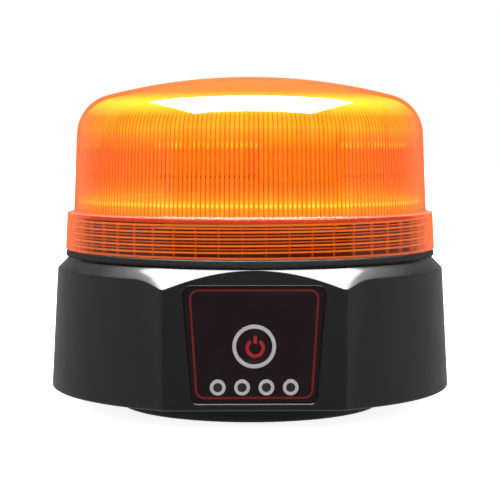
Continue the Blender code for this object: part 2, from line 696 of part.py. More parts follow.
def build_port(steel, board, rubber, black):
    shell = prism(slab(*SOCKET_HALF, 1.5 * MM, (0.0, PORT_Z)), SOCKET_BACK_Y, SOCKET_FACE_Y)
    socket = add_object("charge_socket", shell, steel, FACING_REAR)
    mouth = prism(slab(*MOUTH_HALF, 1.4 * MM, (0.0, PORT_Z)),
                  SOCKET_BACK_Y + 2.0 * MM, SOCKET_FACE_Y + 1.0 * MM)
    cut(socket, add_object("mouth_cutter", mouth, None, FACING_REAR))
    tongue = box((-3.3 * MM, SOCKET_BACK_Y + 1.0 * MM, PORT_Z - 0.35 * MM),
                 (3.3 * MM, SOCKET_FACE_Y - 1.0 * MM, PORT_Z + 0.35 * MM))
    join(socket, add_object("tongue_joiner", tongue, None))
    add_object("charge_board",
               box((-9.0 * MM, 52.0 * MM, PORT_Z - SOCKET_HALF[1] - GAP - BOARD_T),
                   (9.0 * MM, 69.0 * MM, PORT_Z - SOCKET_HALF[1] - GAP)), board)

    inner_y = FLAP_FACE_Y - FLAP_T
    over_top = arc((HINGE_Y, HINGE_Z), HINGE_R, 0.0, 180.0, 6)
    outline = [(inner_y, FLAP_LOW_Z), (FLAP_FACE_Y, FLAP_LOW_Z), *over_top,
               (HINGE_Y - HINGE_R, HINGE_Z - 0.6 * MM), (inner_y, HINGE_Z - 1.6 * MM)]
    flap = add_object("port_cover", prism(outline, -FLAP_HALF, FLAP_HALF), rubber, SIDE_ON,
                      origin=(0.0, HINGE_Y, HINGE_Z))
    at_hinge = Matrix.Translation((0.0, HINGE_Y, HINGE_Z)) @ FACING_RIGHT
    bore = rod(PIN_HOLE_R, -FLAP_HALF - 1.0 * MM, FLAP_HALF + 1.0 * MM, 12)
    cut(flap, add_object("flap_bore_cutter", bore, None, at_hinge))
    plug = prism(slab(*PLUG_HALF, 1.4 * MM, (0.0, PORT_Z)), 70.9 * MM, inner_y + 0.5 * MM)
    join(flap, add_object("plug_joiner", plug, None, FACING_REAR))
    pin = rod(HINGE_PIN_R, -PIN_HALF, PIN_HALF, 12)
    add_object("port_hinge_pin", pin, steel, at_hinge)


# ---- light engine -------------------------------------------------------
CAP_R = 33.0 * MM
WIRE_HOLE_R = 6.0 * MM


def build_light_engine(white, aluminium, led_white, steel):
    deck_top = DECK_Z + DECK_T
    deck = add_object("led_deck", tube(WIRE_HOLE_R, DECK_R, DECK_Z, deck_top, 36), white)
    screw = [(0.0, DECK_Z - 3.0 * MM), (1.2 * MM, DECK_Z - 3.0 * MM),
             (1.2 * MM, deck_top + 0.1 * MM), (2.3 * MM, deck_top + 0.1 * MM),
             (2.3 * MM, deck_top + 1.2 * MM), (0.0, deck_top + 1.6 * MM)]
    for i, angle in enumerate(deck_screw_angles()):
        place = on_circle(DECK_SCREW_R, angle)
        hole = rod(DECK_HOLE_R, DECK_Z - 1.0 * MM, deck_top + 1.0 * MM, 12)
        cut(deck, add_object(f"deck_hole_cutter_{i + 1}", hole, None, Matrix.Translation(place)))
        add_object(f"deck_screw_{i + 1}", turned(screw, 12), steel, Matrix.Translation(place))

    corner = 1.0 / math.cos(math.pi / COLUMN_SIDES)
    low = deck_top + GAP
    column = tube((COLUMN_APOTHEM - COLUMN_WALL) * corner, COLUMN_APOTHEM * corner,
                  low, COLUMN_TOP_Z, COLUMN_SIDES)
    add_object("led_column", column, aluminium)
    cap = [(0.0, COLUMN_TOP_Z + GAP), (CAP_R, COLUMN_TOP_Z + GAP),
           (CAP_R, COLUMN_TOP_Z + 1.3 * MM), (0.0, COLUMN_TOP_Z + 3.3 * MM)]
    add_object("column_cap", turned(cap, 32), white)

    near = COLUMN_APOTHEM + GAP
    half = LED_BOARD_W / 2.0
    for i in range(COLUMN_SIDES):
        bm = box((-half, -near - BOARD_T, LED_BOARD_LOW_Z), (half, -near, LED_BOARD_HIGH_Z))
        turn = Matrix.Rotation(math.radians(30.0 + 60.0 * i), 4, "Z")
        add_object(f"led_board_{i + 1}", bm, led_white, turn)


# ---- lens and its gasket ------------------------------------------------
LENS_STEPS = 48
GASKET_R = 75.2 * MM


def lens_profile():
    """The lens's section from the pole over the outside and back inside."""
    top_r = TOP_Z - LENS_ARC_Z
    middle = LENS_TOP_R - LENS_ARC_R
    # The cap's sphere touches both the top point and the shoulder arc.
    cap_r = (middle ** 2 + top_r ** 2 - LENS_ARC_R ** 2) / (2.0 * (top_r - LENS_ARC_R))
    cap_z = TOP_Z - cap_r
    lean = math.degrees(math.atan2(middle, LENS_ARC_Z - cap_z))
    draft = math.degrees(DRAFT)

    def skin(offset, arc_steps, cap_steps):
        dome = arc((0.0, cap_z), cap_r - offset, 90.0, 90.0 - lean, cap_steps)
        dome[0] = (0.0, TOP_Z - offset)
        return dome[:-1] + arc((middle, LENS_ARC_Z), LENS_ARC_R - offset, 90.0 - lean, draft,
                               arc_steps)

    outside = skin(0.0, 4, 3) + [
        (LENS_R, SKIRT_TOP_Z + 1.3 * MM), (LENS_R + 0.5 * MM, SKIRT_TOP_Z),
        (SKIRT_TOP_R - 0.8 * MM, SKIRT_TOP_Z), (SKIRT_TOP_R, SKIRT_TOP_Z - 0.8 * MM),
        (SKIRT_R, LENS_Z + 0.5 * MM), (SKIRT_R - 0.5 * MM, LENS_Z),
        (SKIRT_IN_R, LENS_Z), (SKIRT_IN_R, SKIRT_TOP_Z - LENS_WALL),
        (LENS_R - LENS_WALL, SKIRT_TOP_Z - LENS_WALL),
    ]
    return outside + skin(LENS_WALL, 3, 2)[::-1]


def build_lens(amber, rubber):
    add_object("lens", turned(lens_profile(), LENS_STEPS), amber)
    low, high = SHOULDER_Z + GAP, LENS_Z - 0.2 * MM
    inner = SKIRT_IN_R + 0.1 * MM
    gasket = [(inner, low), (SHOULDER_R, low), (GASKET_R - 0.5 * MM, low + 0.6 * MM),
              (GASKET_R, low + 1.7 * MM), (GASKET_R - 0.1 * MM, high - 0.4 * MM),
              (GASKET_R - 0.5 * MM, high), (inner, high)]
    add_object("lens_gasket", turned(gasket, LENS_STEPS), rubber)


# ---- assembly -----------------------------------------------------------
def build():
    for old in list(bpy.data.objects):
        bpy.data.objects.remove(old, do_unlink=True)
    black = material("black_plastic", (0.012, 0.012, 0.013), 0.45)
    film = material("panel_film", (0.010, 0.007, 0.008), 0.35)
    rubber = material("black_rubber", (0.015, 0.015, 0.015), 0.75)
    amber = material("amber_lens", (1.0, 0.22, 0.01), 0.15, alpha=0.6)
    trim = material("silver_trim", (0.45, 0.45, 0.46), 0.35, metallic=0.8)
    pipe = material("smoked_pipe", (0.05, 0.05, 0.055), 0.2)
    steel = material("zinc_steel", (0.60, 0.60, 0.62), 0.35, metallic=1.0)
    ferrite = material("ferrite", (0.06, 0.06, 0.065), 0.6)
    board = material("green_board", (0.01, 0.12, 0.04), 0.5)
    led_white = material("white_board", (0.80, 0.80, 0.78), 0.5)
    white = material("white_reflector", (0.85, 0.85, 0.83), 0.5)
    aluminium = material("aluminium", (0.70, 0.70, 0.72), 0.4, metallic=1.0)
    wrap = material("cell_wrap", (0.02, 0.10, 0.45), 0.4)
    copper = material("copper_winding", (0.65, 0.28, 0.12), 0.4, metallic=0.9)
    brass = material("brass", (0.70, 0.50, 0.20), 0.35, metallic=1.0)
    tinned = material("ribbon", (0.55, 0.55, 0.55), 0.5)
    red = material("red_sleeve", (0.55, 0.03, 0.02), 0.5)

    build_housing(black)
    build_bottom(black, rubber, steel)
    build_foot(rubber, steel, ferrite)
    build_panel(film, film, trim, pipe)
    build_control_board(board, black, tinned)
    build_batteries(wrap, black, steel)
    build_driver(board, black, copper, brass)
    build_battery_lead(red)
    build_port(steel, board, rubber, black)
    build_light_engine(white, aluminium, led_white, steel)
    build_lens(amber, rubber)

    datum = bpy.data.objects.new("datum", None)
    datum.location.z = DATUM_Z
    bpy.context.scene.collection.objects.link(datum)
    for made in bpy.data.objects:
        if made.type == "MESH":
            made.parent = datum


build()
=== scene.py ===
"""Looks of the amber LED beacon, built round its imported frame.

Metres, +Z up, the panel faces -Y. Heights are from a datum, which is DATUM_Z
above the frame's floor.
"""
import json
import math

import bmesh
import bpy
import numpy as np
from mathutils import Matrix, Vector


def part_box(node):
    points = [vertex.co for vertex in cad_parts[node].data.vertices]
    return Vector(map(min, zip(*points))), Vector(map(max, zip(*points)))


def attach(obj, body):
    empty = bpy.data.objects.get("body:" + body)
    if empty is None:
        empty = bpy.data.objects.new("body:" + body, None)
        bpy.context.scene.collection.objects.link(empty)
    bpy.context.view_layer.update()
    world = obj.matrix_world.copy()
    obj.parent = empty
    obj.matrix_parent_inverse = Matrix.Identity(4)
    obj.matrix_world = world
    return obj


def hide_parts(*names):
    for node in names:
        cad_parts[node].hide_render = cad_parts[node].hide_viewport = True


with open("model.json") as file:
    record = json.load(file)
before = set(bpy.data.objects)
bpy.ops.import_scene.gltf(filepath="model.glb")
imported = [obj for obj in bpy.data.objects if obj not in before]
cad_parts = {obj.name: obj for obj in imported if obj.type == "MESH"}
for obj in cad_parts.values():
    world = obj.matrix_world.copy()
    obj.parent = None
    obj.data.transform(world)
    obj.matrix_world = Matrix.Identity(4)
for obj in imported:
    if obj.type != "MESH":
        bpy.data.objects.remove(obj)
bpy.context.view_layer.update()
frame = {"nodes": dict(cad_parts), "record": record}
MM = 0.001
BASE_Z = 4.75 * MM  # underside of the housing, above the datum
DATUM_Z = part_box("housing")[0].z - BASE_Z

scene = bpy.context.scene


def box(node):
    """A node's corners, measured from the datum."""
    drop = Vector((0.0, 0.0, DATUM_Z))
    return [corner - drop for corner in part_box(node)]


# ---- node helpers ----
class Nodes:
    """A new material's node tree, with short calls to add and link nodes."""

    def __init__(self, name):
        self.material = bpy.data.materials.new(name)
        self.material.use_nodes = True
        self.tree = self.material.node_tree
        self.tree.nodes.clear()
        self.out = self.add("ShaderNodeOutputMaterial")

    def add(self, kind, values=None, **settings):
        node = self.tree.nodes.new(kind)
        for key, value in settings.items():
            setattr(node, key, value)
        for key, value in (values or {}).items():
            self.plug(value, node.inputs[key])
        return node

    def plug(self, value, socket):
        if isinstance(value, bpy.types.NodeSocket):
            self.tree.links.new(value, socket)
        elif isinstance(value, tuple) and len(value) == 3 and socket.type == "RGBA":
            socket.default_value = (*value, 1.0)
        else:
            socket.default_value = value

    def place(self):
        return self.add("ShaderNodeTexCoord").outputs["Object"]

    def noise(self, scale, detail=3.0, rough=0.5, at=None):
        node = self.add("ShaderNodeTexNoise", {"Scale": scale, "Detail": detail,
                                               "Roughness": rough, "Vector": at or self.place()})
        return node.outputs["Fac"]

    def math(self, operation, a, b=0.0, extra=0.0):
        node = self.add("ShaderNodeMath", {0: a, 1: b, 2: extra}, operation=operation)
        return node.outputs[0]

    def times(self, a, b):
        return self.math("MULTIPLY", a, b)

    def rest(self, share):
        """What share leaves of 1."""
        return self.math("SUBTRACT", 1.0, share)

    def near(self, value, middle, reach):
        """1 at middle, falling evenly to 0 at reach on either side."""
        gap = self.math("ABSOLUTE", self.math("SUBTRACT", value, middle))
        return self.spread(gap, 0.0, reach, 1.0, 0.0)

    def spread(self, value, low, high, to_low, to_high):
        """Map value from low..high to to_low..to_high, clamped."""
        node = self.add("ShaderNodeMapRange", {"Value": value, "From Min": low, "From Max": high,
                                               "To Min": to_low, "To Max": to_high})
        return node.outputs["Result"]

    def blend(self, share, a, b):
        """Mix two colours."""
        node = self.add("ShaderNodeMix", data_type="RGBA")
        for value, socket in ((share, node.inputs[0]), (a, node.inputs[6]), (b, node.inputs[7])):
            self.plug(value, socket)
        return node.outputs[2]

    def mixed(self, share, first, second):
        """Mix two shader nodes."""
        return self.add("ShaderNodeMixShader", {0: share, 1: first.outputs[0],
                                                2: second.outputs[0]})

    def parts(self):
        """The object-space x, y and z."""
        return self.add("ShaderNodeSeparateXYZ", {"Vector": self.place()}).outputs

    def ramp(self, value, stops):
        """Read a colour from (position, colour) stops."""
        node = self.add("ShaderNodeValToRGB", {"Fac": value})
        elements = node.color_ramp.elements
        while len(elements) < len(stops):
            elements.new(0.5)
        for element, (position, color) in zip(elements, stops):
            element.position = position
            element.color = (*color, 1.0)
        return node.outputs["Color"]

    def bump(self, height, strength, distance):
        values = {"Height": height, "Strength": strength, "Distance": distance}
        return self.add("ShaderNodeBump", values).outputs["Normal"]

    def principled(self, **inputs):
        values = {key.replace("_", " "): value for key, value in inputs.items()}
        shader = self.add("ShaderNodeBsdfPrincipled", values)
        self.finish(shader.outputs[0])
        return self.material

    def finish(self, surface):
        self.plug(surface, self.out.inputs["Surface"])
        return self.material


# ---- mesh helpers ----
def ring(radius, height, count):
    """Points round the axis; the first is on the front, at -Y."""
    turn = np.arange(count) * 2.0 * math.pi / count
    radius = np.broadcast_to(radius, count)
    return np.stack([radius * np.sin(turn), -radius * np.cos(turn),
                     np.broadcast_to(height, count)], 1)


def ring_mesh(name, rings, looks, slots=None, closed=True):
    """Skin a list of point rings. A ring may hold a whole multiple of its neighbour's points.

    slots gives a material index for each span between rings. A ring of one
    point is a pole, and closed joins the last ring to the first.
    """
    starts = np.cumsum([0] + [len(r) for r in rings])
    faces, face_slots = [], []
    spans = list(zip(range(len(rings)), list(range(1, len(rings))) + ([0] if closed else [])))
    for span, (a, b) in enumerate(spans):
        na, nb = len(rings[a]), len(rings[b])
        low, few = (a, na) if na <= nb else (b, nb)
        high, many = (b, nb) if na <= nb else (a, na)
        step = many // few if few > 1 else 1
        for i in range(many // step):
            j = (i + 1) % few
            fine = [starts[high] + (i * step + k) % many for k in range(step + 1)]
            coarse = [starts[low] + j, starts[low] + i] if few > 1 else [starts[low]]
            corners = fine + coarse
            if low == a:
                corners = corners[::-1]
            faces.append(corners)
            face_slots.append(slots[span] if slots else 0)
    mesh = bpy.data.meshes.new(name)
    mesh.from_pydata(np.concatenate(rings).tolist(), [], [[int(c) for c in f] for f in faces])
    mesh.polygons.foreach_set("material_index", face_slots)
    return mesh_object(name, mesh, looks)


SHARP_ANGLE = 35.0  # edges steeper than this stay sharp
CUT_SHARP_ANGLE = 30.0
REFINED_SHARP_ANGLE = 12.0


def put(name, data):
    made = bpy.data.objects.new(name, data)
    scene.collection.objects.link(made)
    return made


def mesh_object(name, mesh, looks, sharp=SHARP_ANGLE, flip_check=True):
    """Put a mesh in the scene, facing out, smooth but for its sharp edges."""
    if flip_check:
        bm = bmesh.new()
        bm.from_mesh(mesh)
        bmesh.ops.recalc_face_normals(bm, faces=bm.faces)
        bm.to_mesh(mesh)
        bm.free()
    for look in looks if isinstance(looks, (list, tuple)) else [looks]:
        mesh.materials.append(look)
    mesh.shade_smooth()
    mesh.set_sharp_from_angle(angle=math.radians(sharp))
    made = put(name, mesh)
    made.location.z = DATUM_Z
    return made


def turned(name, profile, count, look):
    """Spin (radius, height) points about Z; a zero radius is a pole."""
    rings = [ring(r, z, count if r > 0.0 else 1) for r, z in profile]
    return ring_mesh(name, rings, look, closed=profile[0][0] > 0.0)


def cube(bm, size, at):
    """Add a box to bm, moved by a vector or placed by a matrix."""
    verts = bmesh.ops.create_cube(bm, size=1.0)["verts"]
    bmesh.ops.scale(bm, vec=size, verts=verts)
    if isinstance(at, Matrix):
        bmesh.ops.transform(bm, matrix=at, verts=verts)
    else:
        bmesh.ops.translate(bm, vec=at, verts=verts)


def skin(bm, loops, whole=True):
    """Join each loop of points to the next; whole joins a loop's last point to its first."""
    for low, high in zip(loops, loops[1:]):
        count = len(low)
        for i in range(count if whole else count - 1):
            j = (i + 1) % count
            bm.faces.new((low[i], low[j], high[j], high[i]))


def arc(center, radius, start, end, steps):
    """Points on an arc, with its angles in degrees."""
    turns = np.radians(np.linspace(start, end, steps + 1))
    return [(center[0] + radius * math.cos(t), center[1] + radius * math.sin(t)) for t in turns]


# ---- camera, floor and light ----
CAMERA_BACK = 0.657  # from the axis
CAMERA_UP = 0.1034  # above the datum
CAMERA_TURN = -1.2  # degrees about the axis
CAMERA_DIP = 3.88  # degrees below the horizon
CAMERA_LENS = 115.8  # mm, on a sensor SENSOR_WIDTH mm wide
SENSOR_WIDTH = 36.0
FLOOR_REACH = 6.0
TABLE_GLOW = 0.85
CARD_SPAN = (-1.3, 2.0)  # the dark card, in x and z, CARD_FRONT before the axis
CARD_HEIGHT = (-0.8, 1.2)
CARD_FRONT = 1.1
FILL_LIGHT = 1.35  # radiances of the room
ROOM_SIDE = 0.40
ROOM_BACK = 0.35
ROOM_ABOVE = 0.2
SOFTBOX_AT = (0.015, -0.0425)
SOFTBOX_UP = 0.817
SOFTBOX_SIZE = (0.956, 0.759)
SOFTBOX_RADIANCE = 34.0
TOP_FILL_AT = (0.0, -0.3, 0.9)
TOP_FILL_SIZE = (0.9, 0.9)
TOP_FILL_RADIANCE = 0.2


def build_stage():
    turn = math.radians(CAMERA_TURN)
    camera = put("camera", bpy.data.cameras.new("camera"))
    camera.data.lens = CAMERA_LENS
    camera.data.sensor_width = SENSOR_WIDTH
    camera.data.clip_start = 0.01
    camera.location = (CAMERA_BACK * math.sin(turn), -CAMERA_BACK * math.cos(turn),
                       CAMERA_UP + DATUM_Z)
    camera.rotation_euler = (math.radians(90.0 - CAMERA_DIP), 0.0, turn)
    scene.camera = camera

    paper = Nodes("paper")
    grain = paper.noise(40.0)
    paper.principled(Base_Color=paper.blend(grain, (0.86, 0.86, 0.86), (0.90, 0.90, 0.90)),
                     Roughness=0.8, Emission_Color=(1.0, 1.0, 1.0), Emission_Strength=TABLE_GLOW)
    floor = flat_stage("floor", [(x * FLOOR_REACH, y * FLOOR_REACH, 0)
                                 for x, y in ((-1, -1), (1, -1), (1, 1), (-1, 1))], paper.material)
    floor.visible_glossy = False

    # A dark card in front, which only the gloss sees.
    card_look = Nodes("card")
    card_look.principled(Base_Color=card_look.blend(card_look.noise(5.0), (0.05, 0.05, 0.05),
                                                    (0.06, 0.06, 0.06)), Roughness=0.9)
    (left, right), (low, high) = CARD_SPAN, CARD_HEIGHT
    card = flat_stage("card", [(x, -CARD_FRONT, z) for x, z in ((left, low), (right, low),
                                                                (right, high), (left, high))],
                      card_look.material)
    card.visible_camera = False
    card.visible_diffuse = False
    card.visible_shadow = False
    build_world()
    scene.view_settings.view_transform = "Standard"


def build_world():
    """White behind the object, an even fill light, and a room for the gloss to see.

    The gloss sees grey walls at the sides, a white one behind, a dim ceiling
    and the lit table underneath.
    """
    world = bpy.data.worlds.new("studio")
    world.use_nodes = True
    tree = world.node_tree

    def add(kind, **inputs):
        node = tree.nodes.new(kind)
        for key, value in inputs.items():
            socket = node.inputs[int(key[1:]) if key[1:].isdigit() else key.replace("_", " ")]
            if isinstance(value, bpy.types.NodeSocket):
                tree.links.new(value, socket)
            else:
                socket.default_value = value
        return node.outputs

    def between(value, low, high, to_low, to_high):
        return add("ShaderNodeMapRange", Value=value, From_Min=low, From_Max=high,
                   To_Min=to_low, To_Max=to_high)["Result"]

    toward = add("ShaderNodeTexCoord")["Generated"]
    split = add("ShaderNodeSeparateXYZ", Vector=toward)
    walls = between(split["Y"], 0.0, 0.7, ROOM_SIDE, ROOM_BACK)
    upper = add("ShaderNodeMix", i0=between(split["Z"], 0.08, 0.26, 0.0, 1.0), i2=walls,
                i3=ROOM_ABOVE)[0]
    room = add("ShaderNodeMix", i0=between(split["Z"], -0.7, -0.35, 1.0, 0.0), i2=upper, i3=1.0)[0]
    path = add("ShaderNodeLightPath")
    gloss = add("ShaderNodeMix", i0=path["Is Glossy Ray"], i2=FILL_LIGHT, i3=room)[0]
    seen = add("ShaderNodeMix", i0=path["Is Camera Ray"], i2=gloss, i3=1.0)[0]
    back = tree.nodes["Background"]
    tree.links.new(seen, back.inputs["Strength"])
    back.inputs["Color"].default_value = (1.0, 1.0, 1.0, 1.0)
    scene.world = world


def flat_stage(name, corners, look):
    """A flat sheet that is no part of the object."""
    mesh = bpy.data.meshes.new(name)
    mesh.from_pydata(corners, [], [(0, 1, 2, 3)])
    mesh.materials.append(look)
    made = put(name, mesh)
    return made


def softbox(name, location, target, size, radiance, diffuse=True, gloss=True):
    """A rectangular area light of a given radiance, aimed at target."""
    light = bpy.data.lights.new(name, "AREA")
    light.shape = "RECTANGLE"
    light.size, light.size_y = size
    light.energy = radiance * math.pi * size[0] * size[1]
    holder = put(name, light)
    holder.location = location
    aim = Vector(target) - Vector(location)
    holder.rotation_euler = aim.to_track_quat("-Z", "Y").to_euler()
    holder.visible_diffuse = diffuse
    holder.visible_glossy = gloss


def build_lights():
    softbox("top_softbox", (*SOFTBOX_AT, SOFTBOX_UP), (*SOFTBOX_AT, 0.0), SOFTBOX_SIZE,
            SOFTBOX_RADIANCE, diffuse=False)
    softbox("top_fill", TOP_FILL_AT, (0.0, 0.0, 50.0 * MM), TOP_FILL_SIZE, TOP_FILL_RADIANCE,
            gloss=False)


# ---- lens ----
FLUTES = 244
FLUTE_COLUMNS = 6  # points across one flute
OUTER_COLUMNS = 488
FLUTE_DEPTH = 0.30 * MM
FLUTE_TOP_Z = 117.0 * MM
LENS_WALL = 1.6 * MM
LENS_R = 71.4 * MM  # outside, at the ledge
LENS_TOP_R = 70.1 * MM  # outside, at ARC_Z
ARC_R = 16.5 * MM  # the shoulder's arc, which ends at ARC_Z
ARC_Z = 105.8 * MM
DRAFT = 2.5  # degrees
SKIRT_TOP_Z = 74.9 * MM
SKIRT_TOP_R = 74.1 * MM
SKIRT_IN_R = 72.6 * MM
LEDGE_FILLET = 1.3 * MM
LEDGE_END = 1.6 * MM  # where the wall meets the fillet, above the ledge
LEDGE_REACH = 2.5 * MM  # how far round the ledge the gloss is dimmed
SKIRT_TOP_EDGE = 0.3 * MM
SKIRT_LOW_EDGE = 0.4 * MM
THREAD_PITCH = 2.5 * MM
THREAD_FRONT_Z = 62.65 * MM
HELIX_STEPS = 120  # a turn
RIB_COUNT = 52
RIB_SIZE = (0.10 * MM, 1.5 * MM)  # across and deep
BAND_LOW_Z = 76.0 * MM
BAND_HIGH_Z = 116.0 * MM
# Painted glow in the lens: emission strengths by height, which stand in for light that the flutes
# gather.
PAINTED_GLOW_BANDS = [  # (share of the height between those two, strength)
    (0.0, 0.35), (0.065, 0.50), (0.085, 0.75), (0.11, 0.70), (0.16, 0.36), (0.23, 0.12),
    (0.34, 0.0), (0.60, 0.0), (0.73, 0.30), (0.80, 0.62), (0.90, 0.55), (1.0, 0.5)]
# Heights in the lens: the painted crown glow peaks at CROWN_Z and dims on the cap above CAP_Z;
# SPARK_Z, LED_ROW_Z and BOARD_EDGE_Z place painted glints and a painted dark row.
CROWN_Z = 118.0 * MM
CAP_Z = 119.5 * MM
SPARK_Z = 79.5 * MM
LED_ROW_Z = 101.8 * MM
BOARD_EDGE_Z = 90.3 * MM
DEEP_Z = (108.0 * MM, 122.0 * MM)

AMBER = (0.985, 0.48, 0.16)
SKIRT_AMBER = (0.96, 0.38, 0.12)
SLANT_AMBER = (0.97, 0.36, 0.08)  # through the wall at a slant
DEEP_AMBER = (0.93, 0.125, 0.008)
DEEP_AMBER_HIGH = (0.97, 0.27, 0.05)
# Painted shade in the grooves of the flutes.
GROOVE_SHADE_COLOR = (0.42, 0.13, 0.02)
# The colour of the painted glow.
PAINTED_GLOW_COLOR = (1.0, 0.80, 0.10)
CLEAR_IOR = 1.49
EDGE_GLOSS = 0.2  # the most that the gloss covers


def amber_clear():
    """The lens's polished outside: a Fresnel gloss over clear amber.

    Light that crosses the wall at a slant goes through more plastic: the tint
    deepens, and edge on it turns to a plain deep amber.
    """
    made = Nodes("amber_clear")
    height = made.parts()[2]
    facing = made.add("ShaderNodeLayerWeight", {"Blend": 0.5}).outputs["Facing"]
    ledge = made.near(height, SKIRT_TOP_Z, LEDGE_REACH)
    rough = made.math("MULTIPLY_ADD", ledge, 0.34,
                      extra=made.spread(made.noise(45.0), 0.3, 0.7, 0.03, 0.06))
    gloss = made.add("ShaderNodeBsdfGlossy", {"Color": (1.0, 1.0, 1.0), "Roughness": rough})
    tint = made.blend(made.noise(25.0), tuple(c * 0.985 for c in AMBER), AMBER)
    side = made.spread(height, CROWN_Z - 9.0 * MM, CROWN_Z, 1.0, 0.0)
    tint = made.blend(made.times(made.spread(facing, 0.08, 0.42, 0.0, 1.0), side), tint,
                      SLANT_AMBER)
    skirt = made.spread(height, SKIRT_TOP_Z - MM, SKIRT_TOP_Z, 1.0, 0.0)
    tint = made.blend(skirt, tint, SKIRT_AMBER)
    clear = made.add("ShaderNodeBsdfTransparent", {"Color": tint})
    high = made.spread(height, *DEEP_Z, 0.0, 1.0)
    deep = made.add("ShaderNodeBsdfDiffuse",
                    {"Color": made.blend(high, DEEP_AMBER, DEEP_AMBER_HIGH)})
    at_crown = made.near(height, CROWN_Z + 1.5 * MM, 7.0 * MM)
    deep_share = made.times(made.spread(facing, 0.50, 0.86, 0.0, 0.85),
                            made.spread(at_crown, 0.0, 1.0, 1.0, 0.25))
    body = made.mixed(deep_share, clear, deep)
    fresnel = made.add("ShaderNodeFresnel", {"IOR": CLEAR_IOR})
    inside = made.add("ShaderNodeNewGeometry").outputs["Backfacing"]
    share = made.math("MINIMUM", fresnel.outputs[0], EDGE_GLOSS)
    share = made.times(share, made.spread(ledge, 0.0, 1.0, 1.0, 0.6))
    share = made.times(share, made.rest(inside))
    return made.finish(made.mixed(share, body, gloss).outputs[0])


def amber_flute():
    """The fluted inside: it scatters light, has painted shade in each groove and a painted glow in
    bands.

    The painted glow stands in for light that the flutes gather; it is fixed to the lens, so it
    looks the same from every side.
    """
    made = Nodes("amber_flute")
    x, y, z = made.parts()
    turn = made.math("ARCTAN2", x, made.times(y, -1.0))
    phase = made.math("FRACT", made.times(turn, FLUTES / (2.0 * math.pi)))
    rise = made.spread(phase, 0.0, 0.16, 0.0, 1.0)
    fall = made.spread(phase, 0.78, 1.0, 1.0, 0.0)
    crest = made.times(rise, fall)

    flat_top = made.spread(z, FLUTE_TOP_Z - 4.0 * MM, FLUTE_TOP_Z, 0.0, 1.0)
    depth = made.rest(flat_top)
    groove = made.times(made.rest(crest), depth)
    mottle = made.noise(55.0, 3.0)
    body = made.blend(mottle, (0.92, 0.66, 0.19), (0.99, 0.75, 0.22))
    # Painted shade: the colour darkens in each groove.
    color = made.blend(groove, body, GROOVE_SHADE_COLOR)
    # Painted shade where the flutes meet the ledge: the colour darkens there, and the painted glow
    # stops.
    below = made.spread(z, SKIRT_TOP_Z - 0.5 * MM, SKIRT_TOP_Z + 0.5 * MM, 1.0, 0.0)
    color = made.blend(below, color, (0.75, 0.30, 0.07))

    # A painted dark row at the boards' edge height, under painted glints, stands for each face of
    # the light column seen through the flutes.
    sector = made.math("FRACT", made.math("MULTIPLY_ADD", turn, 3.0 / math.pi, extra=0.75))
    on_face = made.spread(made.near(sector, 0.5, 0.30), 0.0, 0.15, 0.0, 1.0)
    edge = made.times(made.near(z, BOARD_EDGE_Z, 1.1 * MM), on_face)
    edge = made.times(edge, made.spread(groove, 0.0, 0.7, 0.0, 1.0))
    color = made.blend(edge, color, (0.12, 0.02, 0.0))

    # Painted glow: bands of emission by height, broken into streaks, weaker in the grooves and on
    # the cap.
    height = made.spread(z, BAND_LOW_Z, BAND_HIGH_Z, 0.0, 1.0)
    band = made.ramp(height, [(share, (tone, tone, tone)) for share, tone in PAINTED_GLOW_BANDS])
    streak = made.noise(1.0, 2.0, 0.5, made.add(
        "ShaderNodeMapping", {"Vector": made.place(), "Scale": (220.0, 220.0, 30.0)}).outputs[0])
    band = made.times(band, made.spread(streak, 0.3, 0.7, 0.75, 1.25))
    round_cap = made.spread(z, CAP_Z, CAP_Z + 2.5 * MM, 1.0, 0.6)
    bands = made.times(made.times(band, round_cap), made.spread(groove, 0.0, 1.0, 1.1, 0.2))
    # Painted glints: emission in each flute, in a low row and at the height of the LED row.
    spark = made.near(phase, 0.45, 0.30)
    low_row = made.near(z, SPARK_Z, 1.0 * MM)
    led_row = made.times(made.near(z, LED_ROW_Z, 1.6 * MM), on_face)
    led_row = made.times(led_row, made.spread(made.noise(260.0), 0.4, 0.6, 0.4, 1.8))
    sparks = made.times(made.math("MULTIPLY_ADD", low_row, 2.2, extra=led_row), spark)
    bands = made.times(made.math("ADD", bands, sparks), made.rest(below))
    # Painted glow on the shoulder, brightest just below CROWN_Z.
    crown = made.times(made.spread(z, CROWN_Z - 5.5 * MM, CROWN_Z, 0.0, 1.5),
                       made.spread(z, CROWN_Z + 1.0 * MM, CROWN_Z + 4.5 * MM, 1.0, 0.0))
    strength = made.math("ADD", bands, crown)
    # The painted glow: emission that stands in for gathered light, though the lens is no lamp.
    glow = made.add("ShaderNodeEmission", {"Color": PAINTED_GLOW_COLOR, "Strength": strength})

    diffuse = made.add("ShaderNodeBsdfDiffuse", {"Color": color})
    through = made.add("ShaderNodeBsdfTranslucent", {"Color": color})
    clear = made.add("ShaderNodeBsdfTransparent", {"Color": (1.0, 0.92, 0.8)})
    mix = made.mixed(0.18, made.mixed(0.2, diffuse, through), clear)
    both = made.add("ShaderNodeAddShader", {0: mix.outputs[0], 1: glow.outputs[0]})
    return made.finish(both.outputs[0])


def amber_solid(name, dull, share):
    """Amber plastic seen edge on: it scatters, and lets share of the light through."""
    made = Nodes(name)
    color = made.blend(made.noise(30.0), tuple(c * 0.9 for c in dull), dull)
    diffuse = made.add("ShaderNodeBsdfDiffuse", {"Color": color})
    through = made.add("ShaderNodeBsdfTranslucent", {"Color": color})
    body = made.mixed(0.3, diffuse, through)
    clear = made.add("ShaderNodeBsdfTransparent", {"Color": (1.0, 0.9, 0.8)})
    return made.finish(made.mixed(share, body, clear).outputs[0])


